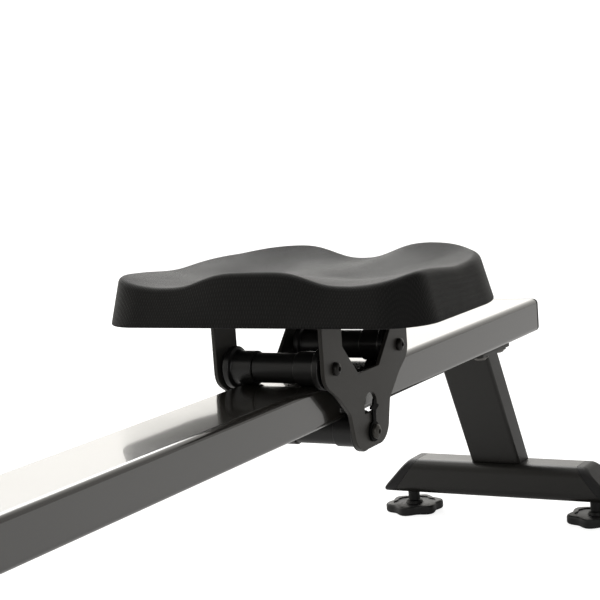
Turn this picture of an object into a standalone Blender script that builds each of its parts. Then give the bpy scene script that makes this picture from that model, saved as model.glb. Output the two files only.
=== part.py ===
# Rowing machine: magnetic drive at the front, seat carriage on a level steel rail.
# +X runs rearwards along the rail, +Y to the left when looking along +X, +Z up.
# The origin is on the floor under the middle of the machine. Sizes are in metres.

import math

import bmesh
import bpy
from mathutils import Vector

# Overall
machine_length = 1.96
rail_top = 0.263
gap = 0.0003  # left between pieces that touch

# Rail
rail_width = 0.086
rail_height = 0.040
rail_wall = 0.0025
rail_corner = 0.006
rail_overlap = 0.195  # how far the rail lies on the spine
end_cap_thickness = 0.005
end_cap_plug = 0.018

# Seat carriage, measured from the point of the rail's top under its middle
carriage_ahead = 0.3694  # from the middle of the seat at rest back to the leg
wheel_base = 0.1348  # between the front and the rear upper axles
tread_radius = 0.01575
flange_height = 0.00405
tread_length = 0.021  # how far in from the rail's side a wheel reaches
tread_clear = 0.0008  # between a wheel flange and the side of the rail
flange_width = 0.0062
axle_radius = 0.004
bore_clear = 0.0003
hub_wall = 0.0037
spacer_clear = 0.00175  # keeps the spacer tubes off the rail
nut_wall = 0.0022
lower_head_wall = 0.0030
hub_length = 0.004  # from the flange to the plate
plate_thickness = 0.004
plate_end = 0.0209  # from an upper axle to the plate's end
plate_foot = 0.01495  # from the lower axle to the plate's bottom
window_edge = 0.0172  # from an upper axle to the window's top corner
window_half_bottom = 0.0217
window_shoulder = 0.0334
window_floor = 0.0035
lip_length = 0.028  # how far in the bent top of a plate reaches
slot_floor = 0.01905  # above the lower axle
slot_height = 0.0185
star_rise = 0.02305  # from the lower axle to the tab's star
tab_thickness = 0.002

# Seat
seat_front_reach = 0.1186  # from the middle of the carriage
seat_rear_reach = 0.1386
seat_width = 0.337
seat_under = 0.0602  # from the rail's top to the underside of the pad
seat_draft = 0.0095
seat_round = 0.009
seat_front_corner = 0.043
seat_rear_corner = 0.112
seat_base_inset = 0.0256  # from the pad's front
seat_base_side_inset = 0.0485
seat_base_thickness = 0.005

# Rear leg and both stabilisers
leg_width = 0.0625
leg_depth = 0.030
leg_wall = 0.002
leg_corner = 0.004
rear_overhang = 0.1306  # from the middle of the leg's top end to the machine's end
rear_leg_lean = math.radians(60.8)
mount_plate_thickness = 0.004
mount_plate_length = 0.090
mount_plate_inset = 0.005  # from the rail's sides
mount_bolt_inset = 0.0145
mount_bolt_radius = 0.005
mount_bolt_head = 0.008
rear_stop_height = 0.008
front_stop_height = 0.012
front_stop_place = 0.2531  # from the rail's front end to the stop's rear face
stop_length = 0.010
stabiliser_depth = 0.052
stabiliser_height = 0.043
stabiliser_bottom = 0.027
stabiliser_corner = 0.013
stabiliser_wall = 0.002
rear_stabiliser_seam = 0.103  # half length along the top of the tube
front_stabiliser_seam = 0.184
stabiliser_cut = 0.033  # how much longer the underside is, at each end
cap_thickness = 0.0115
cap_tip = 0.019
leveller_radius = 0.036
leveller_height = 0.011
leveller_lobe = 0.0028
leveller_stem = 0.00725
leveller_screw = 0.0048
leveller_screw_reach = 0.014  # above the tube's underside
leveller_inset = 0.0167  # from the lower seam to the stem's axis

# Main frame
spine_width = 0.060
spine_height = 0.050
spine_place = 0.080  # from the machine's front end
spine_length = 0.640
front_leg_rise = 0.043  # how far the front leg's top is behind its foot
cheek_thickness = 0.006
weld_depth = 0.001  # how far welded pieces reach into each other
foot_radius = 0.021
transport_radius = 0.032
transport_width = 0.022
transport_pin = 0.005
transport_clear = 0.005
transport_inset = 0.030  # from the seam to the wheel's middle
ear_thickness = 0.003
ear_clear = 0.0015  # between an ear and the wheel
pin_half_length = 0.018
foot_out = 0.004  # from the lower seam to the front foot's middle

# Drive
flywheel_place = 0.220  # from the machine's front end
flywheel_clear = 0.0153  # above the spine
flywheel_radius = 0.125
flywheel_width = 0.030
drum_radius = 0.045
drum_clear = 0.015  # between the drum and the flywheel
drum_rise = 0.019
drive_axle_radius = 0.008
pulley_radius = 0.070
small_pulley_radius = 0.022
belt_width = 0.014
belt_thickness = 0.002
belt_clear = 0.001  # covers the flats of the belt's arcs and of the pulleys
brake_gap = 0.003
brake_thickness = 0.009
rod_clear = 0.0088  # above the brake arm while it is fully open
brake_open = math.radians(4.0)
roller_radius = 0.012
strap_thickness = 0.0016
strap_width = 0.025

# Housing, handle and console
drive_room = 0.040  # beside each cheek, for the belt or the spring
housing_wall = 0.003
housing_round = 0.014
housing_head = 0.089  # above the flywheel
handle_ahead = 0.130  # from the drum's axle
handle_rise = 0.120
handle_radius = 0.0125
handle_half_length = 0.212
grip_wall = 0.004
grip_length = 0.142
clip_wall = 0.004
clip_lip = 0.0035  # the clip's side that the strap comes out of
strap_clear = 0.0005
mast_behind = 0.065  # from the drum's axle
console_tilt = math.radians(-28.0)
console_width = 0.150
console_height = 0.104
console_depth = 0.034

# Footplates
foot_axle_place = 0.100  # from the spine's rear end
foot_axle_drop = 0.0257  # below the spine's top
foot_axle_radius = 0.006
foot_slope = math.radians(50.0)
footplate_clear = 0.013  # outside the housing
footplate_width = 0.104
footplate_toe = 0.185
footplate_heel = 0.105
footplate_thickness = 0.008

front_end = -machine_length / 2
rail_bottom = rail_top - rail_height
rail_rear = machine_length / 2 - end_cap_thickness - gap
rear_leg_x = machine_length / 2 - rear_overhang
carriage_x = rear_leg_x - carriage_ahead
flange_radius = tread_radius + flange_height
spacer_radius = tread_radius - spacer_clear
flange_inner = rail_width / 2 + tread_clear
flange_outer = flange_inner + flange_width
tread_inner = rail_width / 2 - tread_length
plate_inner = flange_outer + hub_length
plate_outer = plate_inner + plate_thickness
plate_half_length = wheel_base / 2 + plate_end
window_half_top = wheel_base / 2 - window_edge
upper_axle_z = rail_top + tread_radius + gap / 6
lower_axle_z = rail_bottom - tread_radius - gap
lower_axle_drop = rail_top - lower_axle_z
plate_drop = lower_axle_drop + plate_foot
seat_base_length = 2 * (seat_front_reach - seat_base_inset)
seat_base_width = seat_width - 2 * seat_base_side_inset
mount_bolt_y = rail_width / 2 - mount_bolt_inset
mount_plate_width = rail_width - 2 * mount_plate_inset
stabiliser_top = stabiliser_bottom + stabiliser_height
rear_stabiliser_x = rear_leg_x + (rail_bottom - stabiliser_top) / math.tan(rear_leg_lean)
front_stabiliser_x = front_end + 2 * transport_radius + transport_clear + stabiliser_depth / 2
front_leg_x = front_stabiliser_x + front_leg_rise
spine_front = front_end + spine_place
spine_rear = spine_front + spine_length
spine_top = rail_bottom - gap
spine_bottom = spine_top - spine_height
rail_front = spine_rear - rail_overlap
cheek_inner = spine_width / 2 - weld_depth
cheek_outer = cheek_inner + cheek_thickness
flywheel_x = front_end + flywheel_place
flywheel_z = spine_top + flywheel_clear + flywheel_radius
drum_x = flywheel_x + flywheel_radius + drum_radius + drum_clear
drum_z = flywheel_z + drum_rise
mast_x = drum_x - mast_behind
handle_x = drum_x + handle_ahead
handle_z = drum_z + handle_rise
grip_radius = handle_radius + gap + grip_wall
clip_half = handle_radius + clip_wall
clip_back = clip_half + clip_lip
housing_half_width = cheek_outer + drive_room
housing_top = flywheel_z + flywheel_radius + housing_head
foot_axle_x = spine_rear - foot_axle_place
foot_axle_z = spine_top - foot_axle_drop
footplate_inner = housing_half_width + footplate_clear

parts = bpy.data.collections.new("rowing_machine")
cutters = bpy.data.collections.new("cutters")

looks = {}


def clear_scene():
    for thing in list(bpy.data.objects):
        bpy.data.objects.remove(thing, do_unlink=True)
    bpy.context.scene.collection.children.link(parts)
    bpy.context.scene.collection.children.link(cutters)


def add_look(name, colour, roughness, metallic):
    look = bpy.data.materials.new(name)
    look.use_nodes = True
    shader = look.node_tree.nodes["Principled BSDF"]
    shader.inputs["Base Color"].default_value = (*colour, 1.0)
    shader.inputs["Roughness"].default_value = roughness
    shader.inputs["Metallic"].default_value = metallic
    looks[name] = look


def add_looks():
    add_look("painted_steel", (0.085, 0.083, 0.078), 0.38, 0.55)
    add_look("plate_steel", (0.105, 0.102, 0.094), 0.42, 0.60)
    add_look("zinc", (0.55, 0.55, 0.54), 0.30, 0.90)
    add_look("dark_steel", (0.035, 0.035, 0.036), 0.35, 0.80)
    add_look("cast_iron", (0.18, 0.18, 0.18), 0.50, 0.80)
    add_look("seat_foam", (0.018, 0.018, 0.019), 0.62, 0.0)
    add_look("roller_plastic", (0.014, 0.014, 0.014), 0.32, 0.0)
    add_look("black_plastic", (0.020, 0.020, 0.021), 0.45, 0.0)
    add_look("grey_plastic", (0.10, 0.10, 0.105), 0.50, 0.0)
    add_look("rubber", (0.012, 0.012, 0.012), 0.80, 0.0)
    add_look("grip_foam", (0.020, 0.020, 0.021), 0.90, 0.0)
    add_look("webbing", (0.022, 0.022, 0.024), 0.85, 0.0)
    add_look("lens", (0.03, 0.045, 0.04), 0.08, 0.0)
    add_look("button", (0.45, 0.45, 0.46), 0.45, 0.0)


def keep(piece, look, parent=None):
    # Gives a finished piece its material and its joint's empty, leaving it where it is.
    piece.data.materials.clear()
    piece.data.materials.append(looks[look])
    if piece.type == "MESH" and piece.data.polygons:
        piece.data.shade_smooth()
        piece.data.set_sharp_from_angle(angle=math.radians(35))
    if parent is not None and piece.parent is None:
        bpy.context.view_layer.update()
        piece.parent = parent
        piece.matrix_parent_inverse = parent.matrix_world.inverted()
    return piece


def pivot(name, x, y, z, turn=0.0):
    # An empty on a joint's axis, turned about Y where what it carries is built aslant.
    empty = bpy.data.objects.new(name, None)
    empty.empty_display_size = 0.03
    empty.location = (x, y, z)
    empty.rotation_euler = (0, turn, 0)
    parts.objects.link(empty)
    return empty


def box(name, x, y, z, bevel=0.0, parent=None):
    # A box between the low and high of each axis, its edges rounded by a Bevel modifier.
    work = bmesh.new()
    bmesh.ops.create_cube(work, size=1.0)
    sides = Vector((abs(x[1] - x[0]), abs(y[1] - y[0]), abs(z[1] - z[0])))
    bmesh.ops.scale(work, vec=sides, verts=work.verts)
    mesh = bpy.data.meshes.new(name)
    work.to_mesh(mesh)
    work.free()
    piece = bpy.data.objects.new(name, mesh)
    piece.location = (sum(x) / 2, sum(y) / 2, sum(z) / 2)
    piece.parent = parent
    parts.objects.link(piece)
    if bevel > 0:
        rounding = piece.modifiers.new("rounding", "BEVEL")
        rounding.width = bevel
        rounding.segments = 2
    return piece


def prism(name, loops, axis, low, high, parent=None):
    # A flat outline, with its inner loops as holes, extruded from low to high along an axis.
    # The loops hold (x, z) pairs for axis y, (y, z) pairs for axis x and (x, y) pairs for z.
    turns = {"x": (math.pi / 2, 0, math.pi / 2), "y": (math.pi / 2, 0, 0), "z": (0, 0, 0)}
    curve = bpy.data.curves.new(name, "CURVE")
    curve.dimensions = "2D"
    curve.fill_mode = "BOTH"
    curve.extrude = abs(high - low) / 2
    for loop in loops:
        spline = curve.splines.new("POLY")
        spline.points.add(len(loop) - 1)
        for point, (u, v) in zip(spline.points, loop):
            point.co = (u, v, 0, 1)
        spline.use_cyclic_u = True
    piece = bpy.data.objects.new(name, curve)
    piece.rotation_euler = turns[axis]
    piece.location["xyz".index(axis)] = (low + high) / 2
    piece.parent = parent
    parts.objects.link(piece)
    return piece


def turned(name, profile, axis, place, steps=24, parent=None):
    # A profile of (radius, height) pairs, down its outer side, turned by a Screw modifier.
    # It is closed into a ring unless it starts on the axis.
    count = len(profile)
    edges = [(i, i + 1) for i in range(count - 1)]
    if profile[0][0] > 0:
        edges.append((count - 1, 0))
    mesh = bpy.data.meshes.new(name)
    mesh.from_pydata([(radius, 0, height) for radius, height in profile], edges, [])
    piece = bpy.data.objects.new(name, mesh)
    screw = piece.modifiers.new("turning", "SCREW")
    screw.steps = steps
    screw.render_steps = steps
    screw.use_merge_vertices = True
    screw.merge_threshold = 0.00001
    if axis == "y":
        piece.rotation_euler = (-math.pi / 2, 0, 0)
    piece.location = place
    piece.parent = parent
    parts.objects.link(piece)
    return piece


def as_mesh(piece):
    # The evaluated piece as a plain mesh with its caps welded, in the same place.
    bpy.context.view_layer.update()
    graph = bpy.context.evaluated_depsgraph_get()
    mesh = bpy.data.meshes.new_from_object(piece.evaluated_get(graph))
    work = bmesh.new()
    work.from_mesh(mesh)
    bmesh.ops.remove_doubles(work, verts=work.verts, dist=0.000001)
    work.to_mesh(mesh)
    work.free()
    name = piece.name
    solid = bpy.data.objects.new(name + "_mesh", mesh)
    parts.objects.link(solid)
    solid.parent = piece.parent
    solid.matrix_world = piece.matrix_world
    bpy.data.objects.remove(piece, do_unlink=True)
    solid.name = name
    return solid


def combined(piece, other, operation):
    # The piece with a Boolean modifier, and the other object hidden among the cutters.
    if piece.type != "MESH" or len(piece.modifiers) > 0 or not piece.data.polygons:
        piece = as_mesh(piece)
    other = as_mesh(other)
    other.name = piece.name + "_" + operation.lower()
    parts.objects.unlink(other)
    cutters.objects.link(other)
    other.hide_render = True
    other.display_type = "WIRE"
    boolean = piece.modifiers.new(operation.lower(), "BOOLEAN")
    boolean.operation = operation
    boolean.object = other
    return piece


def cut(piece, *others):
    for other in others:
        piece = combined(piece, other, "DIFFERENCE")
    return piece


def joined(piece, *others):
    for other in others:
        piece = combined(piece, other, "UNION")
    return piece


def drill(piece, axis, place, radius, length, steps=16, parent=None):
    # Cuts a round hole of a length centred on a place.
    turn = {"x": (0, math.pi / 2, 0), "y": (math.pi / 2, 0, 0), "z": (0, 0, 0)}[axis]
    profile = [(0, length / 2), (radius, length / 2), (radius, -length / 2), (0, -length / 2)]
    bit = turned("bit", profile, "z", place, steps, parent)
    bit.rotation_euler = turn
    return cut(piece, bit)


def round_edges(piece, chosen, radius, segments=2):
    # Bevels the edges that the test picks, given their two ends in the piece's own frame.
    piece = as_mesh(piece)
    work = bmesh.new()
    work.from_mesh(piece.data)
    bmesh.ops.dissolve_limit(
        work, angle_limit=math.radians(1), verts=work.verts, edges=work.edges
    )
    sharp = [edge for edge in work.edges if edge.calc_face_angle(0) > math.radians(30)]
    edges = [edge for edge in sharp if chosen(edge.verts[0].co, edge.verts[1].co)]
    bmesh.ops.bevel(
        work, geom=edges, offset=radius, segments=segments, profile=0.5, affect="EDGES",
        clamp_overlap=True,
    )
    work.to_mesh(piece.data)
    work.free()
    return piece


def rounded(corners, steps=4):
    # A closed outline through (u, v, radius) corners, each with its corner as an arc.
    loop = []
    count = len(corners)
    for i, (u, v, radius) in enumerate(corners):
        here = Vector((u, v))
        if radius <= 0:
            loop.append((u, v))
            continue
        back = (Vector(corners[i - 1][:2]) - here).normalized()
        onward = (Vector(corners[(i + 1) % count][:2]) - here).normalized()
        half = math.acos(max(-1.0, min(1.0, back.dot(onward)))) / 2
        centre = here + (back + onward).normalized() * radius / math.sin(half)
        start = here + back * radius / math.tan(half) - centre
        end = here + onward * radius / math.tan(half) - centre
        first = math.atan2(start.y, start.x)
        sweep = math.remainder(math.atan2(end.y, end.x) - first, 2 * math.pi)
        for step in range(steps + 1):
            angle = first + sweep * step / steps
            loop.append((centre.x + radius * math.cos(angle), centre.y + radius * math.sin(angle)))
    return loop


def rounded_box(width, height, radius, u=0.0, v=0.0, steps=3):
    corners = [(-1, -1), (1, -1), (1, 1), (-1, 1)]
    radius = min(radius, width / 2, height / 2)
    return rounded([(u + a * width / 2, v + b * height / 2, radius) for a, b in corners], steps)


def circle(u, v, radius, steps=16):
    turn = 2 * math.pi / steps
    return [(u + radius * math.cos(i * turn), v + radius * math.sin(i * turn)) for i in range(steps)]


def arc(u, v, radius, first, last, steps):
    angles = [first + (last - first) * i / steps for i in range(steps + 1)]
    return [(u + radius * math.cos(angle), v + radius * math.sin(angle)) for angle in angles]


def mirrored(half):
    # A closed outline from the half at u > 0, listed from the lowest v to the highest.
    return half + [(-u, *rest) for u, *rest in reversed(half)]


def offset_path(path, distance):
    # An open path moved sideways, to its left where the distance is positive.
    moved = []
    for i, here in enumerate(path):
        before = Vector(path[max(i - 1, 0)])
        after = Vector(path[min(i + 1, len(path) - 1)])
        along = (after - before).normalized()
        moved.append((here[0] - along.y * distance, here[1] + along.x * distance))
    return moved


def band(path, thickness):
    # The closed outline of a strip that follows an open path.
    return offset_path(path, thickness / 2) + offset_path(path, -thickness / 2)[::-1]


def tangent_angle(first, first_radius, second, second_radius):
    # The direction from each centre to where the outer tangent on the left side touches.
    between = Vector(second) - Vector(first)
    lean = math.asin((first_radius - second_radius) / between.length)
    return math.atan2(between.y, between.x) + math.pi / 2 - lean


def along_loop(loop, count):
    # A closed loop's points spaced evenly along its length.
    ends = loop + loop[:1]
    reach = [0.0]
    for a, b in zip(ends, ends[1:]):
        reach.append(reach[-1] + math.dist(a, b))
    spaced = []
    k = 0
    for i in range(count):
        goal = reach[-1] * i / count
        while reach[k + 1] < goal:
            k += 1
        share = (goal - reach[k]) / (reach[k + 1] - reach[k])
        spaced.append(tuple(a + (b - a) * share for a, b in zip(ends[k], ends[k + 1])))
    return spaced


def ramp(value, low, high):
    share = max(0.0, min(1.0, (value - low) / (high - low)))
    return share * share * (3 - 2 * share)


# Frame at the rear


def rail_section(inset):
    return rounded_box(
        rail_width - 2 * inset, rail_height - 2 * inset, rail_corner - inset,
        0, rail_top - rail_height / 2,
    )


def mount_bolt_places():
    forward = rear_leg_x - leg_depth / math.sin(rear_leg_lean) / 2 - mount_bolt_head - 0.002
    backward = rear_leg_x + leg_depth / math.sin(rear_leg_lean) / 2 + mount_bolt_head + 0.002
    return {"front": forward, "rear": backward}


def make_rail():
    rail = prism("rail", [rail_section(0), rail_section(rail_wall)], "x", rail_front, rail_rear)
    mid_wall = rail_bottom + rail_wall / 2
    for x in mount_bolt_places().values():
        for side in (1, -1):
            place = (x, side * mount_bolt_y, mid_wall)
            rail = drill(rail, "z", place, mount_bolt_radius + gap, 3 * rail_wall, 12)
    keep(rail, "painted_steel")

    cap = prism("rail_end_cap", [rail_section(0)], "x", rail_rear + gap, machine_length / 2)
    cap = round_edges(cap, lambda a, b: min(a.z, b.z) > 0.0, 0.002)
    plug = prism(
        "plug", [rail_section(rail_wall + gap)], "x",
        rail_rear - end_cap_plug, rail_rear + gap + end_cap_thickness / 2,
    )
    keep(joined(cap, plug), "black_plastic")


def make_leg(name, x_top, z_top, x_bottom, z_bottom):
    # A leaning rectangular tube, cut level at both ends.
    lean = math.atan2(z_top - z_bottom, abs(x_bottom - x_top))
    along = (x_bottom - x_top) / (z_top - z_bottom)

    def slant(depth, extra):
        half = depth / math.sin(lean) / 2
        high = x_top - along * extra
        low = x_bottom + along * extra
        return [
            (low - half, z_bottom - extra), (low + half, z_bottom - extra),
            (high + half, z_top + extra), (high - half, z_top + extra),
        ]

    leg = prism(name, [slant(leg_depth, 0)], "y", -leg_width / 2, leg_width / 2)
    leg = round_edges(leg, lambda a, b: abs(a.y - b.y) > 0.01, leg_corner)
    hollow = leg_width / 2 - leg_wall
    inner = prism("hollow", [slant(leg_depth - 2 * leg_wall, 0.01)], "y", -hollow, hollow)
    return keep(cut(leg, inner), "painted_steel")


def make_mount_plate():
    middle = rear_leg_x
    top = rail_bottom - gap
    plate = box(
        "leg_mount_plate",
        (middle - mount_plate_length / 2, middle + mount_plate_length / 2),
        (-mount_plate_width / 2, mount_plate_width / 2),
        (top - mount_plate_thickness, top),
    )
    for end, x in mount_bolt_places().items():
        for side, sign in (("left", 1), ("right", -1)):
            place = (x, sign * mount_bolt_y, top - mount_plate_thickness / 2)
            hole = mount_bolt_radius + gap
            plate = drill(plate, "z", place, hole, 3 * mount_plate_thickness, 12)
            if end == "front":
                make_mount_bolt("leg_bolt_" + side, x, sign * mount_bolt_y)
    keep(plate, "painted_steel")


def make_mount_bolt(name, x, y):
    under = rail_bottom - gap - mount_plate_thickness - gap
    reach = rail_wall + mount_plate_thickness + 3 * gap + 0.006
    profile = [
        (0, reach), (mount_bolt_radius, reach), (mount_bolt_radius, 0), (mount_bolt_head, 0),
        (mount_bolt_head, -0.003), (mount_bolt_head * 0.7, -0.0055), (0, -0.006),
    ]
    keep(turned(name, profile, "z", (x, y, under), 12), "zinc")


def make_rear_stop():
    # A rubber strip in front of the mount plate, which the lower wheels' spacer meets.
    rear = rear_leg_x - mount_plate_length / 2 - gap
    top = rail_bottom - gap
    stop = box(
        "rear_stop", (rear - stop_length, rear), (-0.018, 0.018), (top - rear_stop_height, top),
        0.0015,
    )
    keep(stop, "rubber")


def stabiliser_section(x, inset):
    return rounded_box(
        stabiliser_depth - 2 * inset, stabiliser_height - 2 * inset, stabiliser_corner - inset,
        x, stabiliser_bottom + stabiliser_height / 2, 3,
    )


def end_slope(seam, push):
    # Two points of the slanted end's line, pushed outwards, past the top and the bottom.
    # Returned as (y, z) pairs, upper one first.
    spare = 0.01
    rate = stabiliser_cut / stabiliser_height
    upper = (seam + push - rate * spare, stabiliser_top + spare)
    lower = (seam + stabiliser_cut + push + rate * spare, stabiliser_bottom - spare)
    return upper, lower


def make_stabiliser(name, x, seam):
    half = seam + stabiliser_cut + 0.03
    loops = [stabiliser_section(x, 0), stabiliser_section(x, stabiliser_wall)]
    tube = prism(name, loops, "y", -half, half)
    upper, lower = end_slope(seam, 0)
    shape = [lower, upper, (-upper[0], upper[1]), (-lower[0], lower[1])]
    keeper = prism("keeper", [shape], "x", x - stabiliser_depth, x + stabiliser_depth)
    return combined(tube, keeper, "INTERSECT")


def make_stabiliser_cap(name, x, seam, sign):
    loops = [stabiliser_section(x, 0)]
    low = sign * (seam - 0.02)
    high = sign * (seam + stabiliser_cut + 0.06)
    cap = prism(name, loops, "y", min(low, high), max(low, high))
    inner = end_slope(seam, gap)
    outer = end_slope(seam, 0)
    slab = [
        inner[0], inner[1],
        (outer[1][0] + cap_tip, outer[1][1]), (outer[0][0] + cap_thickness, outer[0][1]),
    ]
    slab = [(sign * y, z) for y, z in slab]
    keeper = prism("keeper", [slab], "x", x - stabiliser_depth, x + stabiliser_depth)
    return combined(cap, keeper, "INTERSECT")


def leveller_y():
    return rear_stabiliser_seam + stabiliser_cut - leveller_inset


def make_leveller(side, sign):
    # A lobed knob on a stem, with its screw standing in the tube's underside.
    y = sign * leveller_y()
    spin = pivot("leveller_axis_" + side, rear_stabiliser_x, y, 0)
    lobed = []
    for i in range(36):
        angle = 2 * math.pi * i / 36
        reach = leveller_radius - leveller_lobe * (1 - math.cos(6 * angle))
        lobed.append(
            (rear_stabiliser_x + reach * math.cos(angle), y + reach * math.sin(angle))
        )
    knob = prism("rear_leveller_" + side, [lobed], "z", 0, leveller_height)
    top = stabiliser_bottom - gap
    profile = [
        (0, top + leveller_screw_reach), (leveller_screw, top + leveller_screw_reach),
        (leveller_screw, top), (leveller_stem, top),
        (leveller_stem, leveller_height / 2), (0, leveller_height / 2),
    ]
    stem = turned("stem", profile, "z", (rear_stabiliser_x, y, 0), 16)
    keep(joined(knob, stem), "black_plastic", spin)


def make_rear_stabiliser():
    tube = make_stabiliser("rear_stabiliser", rear_stabiliser_x, rear_stabiliser_seam)
    for side, sign in (("left", 1), ("right", -1)):
        place = (rear_stabiliser_x, sign * leveller_y(), stabiliser_bottom)
        tube = drill(tube, "z", place, leveller_screw + gap, 4 * stabiliser_wall, 12)
        cap = make_stabiliser_cap(
            "rear_cap_" + side, rear_stabiliser_x, rear_stabiliser_seam, sign
        )
        keep(cap, "black_plastic")
        make_leveller(side, sign)
    keep(tube, "painted_steel")


# Seat carriage


def seat_outline(inset, count):
    # The pad's outline seen from above, moved inwards, starting at its middle front.
    ahead = seat_front_reach - inset
    behind = seat_rear_reach - inset
    half_width = seat_width / 2 - inset
    front = max(seat_front_corner - inset, 0.005)
    rear = max(seat_rear_corner - inset, 0.005)
    corners = [
        (-ahead, 0, 0), (-ahead, -half_width, front), (behind, -half_width, rear),
        (behind, half_width, rear), (-ahead, half_width, front),
    ]
    return along_loop(rounded(corners, 8), count)


def seat_rim(x, y):
    # The height of the rim's crest: a pommel between two thigh dips at the front, a notch
    # for the tailbone at the rear, and sides that dip in the middle.
    side = abs(y)
    front = 0.0960 + 0.0135 * math.exp(-((side / 0.060) ** 4))
    front += 0.0105 * max(0.0, (side - 0.095) / 0.060) ** 1.9
    rear = 0.1103 - 0.0147 * math.exp(-((side / 0.041) ** 2.5))
    flank = 0.1003 + 0.0065 * (1 - math.exp(-(((x - 0.008) / 0.058) ** 2)))
    to_front = ramp(-x / seat_front_reach, 0.60, 0.86)
    to_rear = ramp(x / seat_rear_reach, 0.62, 0.88)
    return front * to_front + rear * to_rear + flank * (1 - to_front - to_rear)


def seat_bowl(x, y):
    # The height of the hollow inside the rim: two bowls with a ridge that climbs forwards.
    side = abs(y)
    bowls = math.exp(-(((side - 0.072) / 0.045) ** 2) - ((x - 0.020) / 0.062) ** 2)
    ridge = math.exp(-((side / 0.040) ** 2)) * ramp(-x, 0.0, 0.110)
    return 0.0940 - 0.0055 * bowls + 0.0120 * ridge


def make_seat(mover):
    # A sphere whose rings of points become the pad's rings: the top from its middle to the
    # crest of the rim, the rounded edge, the drafted side and the flat underside.
    segments = 48
    crest = seat_draft + seat_round
    rings = [("top", 0.22), ("top", 0.42), ("top", 0.60), ("top", 0.76), ("top", 0.90),
             ("top", 1.0), ("edge", 0.5), ("edge", 1.0), ("side", 1.0), ("under", 0.55)]
    work = bmesh.new()
    bmesh.ops.create_uvsphere(
        work, u_segments=segments, v_segments=len(rings) + 1, radius=1.0
    )
    crest_loop = seat_outline(crest, segments)
    for vert in work.verts:
        level = round(math.acos(max(-1.0, min(1.0, vert.co.z))) / math.pi * (len(rings) + 1))
        place = round(math.atan2(vert.co.y, vert.co.x) / (2 * math.pi) * segments) % segments
        if level == 0:
            vert.co = (0, 0, seat_bowl(0, 0))
        elif level == len(rings) + 1:
            vert.co = (0, 0, seat_under)
        else:
            vert.co = seat_point(*rings[level - 1], place, segments, crest_loop)
    bmesh.ops.recalc_face_normals(work, faces=work.faces)
    mesh = bpy.data.meshes.new("seat_pad")
    work.to_mesh(mesh)
    work.free()
    pad = bpy.data.objects.new("seat_pad", mesh)
    pad.location = (carriage_x, 0, rail_top)
    parts.objects.link(pad)
    half_length = seat_base_length / 2
    half_width = seat_base_width / 2
    under = rail_top + seat_under
    recess = box(
        "recess", (carriage_x - half_length - gap, carriage_x + half_length + gap),
        (-half_width - gap, half_width + gap), (under - 0.01, under + seat_base_thickness + gap),
    )
    keep(cut(pad, recess), "seat_foam", mover)
    base = box(
        "seat_base", (carriage_x - half_length, carriage_x + half_length),
        (-half_width, half_width), (under, under + seat_base_thickness),
    )
    keep(base, "painted_steel", mover)


def seat_point(zone, share, place, segments, crest_loop):
    x, y = crest_loop[place]
    if zone == "top":
        rise = share**3.5
        inside = seat_bowl(x * share, y * share)
        return (x * share, y * share, inside * (1 - rise) + seat_rim(x, y) * rise)
    if zone == "edge":
        turn = share * (math.pi / 2 - math.radians(14))
        inset = seat_draft + seat_round * (1 - math.sin(turn))
        near = seat_outline(inset, segments)[place]
        return (*near, seat_rim(x, y) - seat_round * (1 - math.cos(turn)))
    if zone == "side":
        return (*seat_outline(0, segments)[place], seat_under)
    low_x, low_y = seat_outline(0, segments)[place]
    return (low_x * share, low_y * share, seat_under)


def plate_outline():
    top = seat_under - gap
    half = [
        (0.0340, -plate_drop, 0.022),
        (0.0372, -plate_drop + 0.021, 0.020),
        (0.0420, -0.032, 0.010),
        (plate_half_length - 0.0223, -0.010, 0.020),
        (plate_half_length, 0.004, 0.018),
        (plate_half_length, top, 0),
        (window_half_top, top, 0),
        (window_half_top, window_shoulder, 0.003),
        (window_half_bottom, window_floor, 0.003),
    ]
    corners = [(carriage_x + u, rail_top + v, r) for u, v, r in mirrored(half)]
    return rounded(corners, 3)


def slot_outline():
    # The window behind the tab's star: flat below, round above.
    corners = [
        (-0.0136, 0, 0.001), (0.0120, 0, 0.001),
        (0.0120, slot_height, 0.0115), (-0.0136, slot_height, 0.0115),
    ]
    floor = lower_axle_z + slot_floor
    return rounded([(carriage_x + u, floor + v, r) for u, v, r in corners], 4)


def axle_places():
    return {
        "front": (carriage_x - wheel_base / 2, upper_axle_z),
        "rear": (carriage_x + wheel_base / 2, upper_axle_z),
        "lower": (carriage_x, lower_axle_z),
    }


def make_carriage_plate(side, sign, mover):
    holes = [circle(x, z, axle_radius + bore_clear, 12) for x, z in axle_places().values()]
    near = sign * plate_inner
    far = sign * plate_outer
    loops = [plate_outline(), slot_outline(), *holes]
    plate = prism("carriage_plate_" + side, loops, "y", min(near, far), max(near, far))
    top = rail_top + seat_under - 2 * gap
    step = weld_depth / 2
    for end in (1, -1):
        front = carriage_x + end * (window_half_top + step)
        rear = carriage_x + end * (plate_half_length - step)
        reach = (sign * (plate_inner - lip_length), far - sign * weld_depth)
        lip = box("lip", (front, rear), reach, (top - plate_thickness, top))
        plate = joined(plate, lip)
    keep(plate, "plate_steel", mover)


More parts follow.
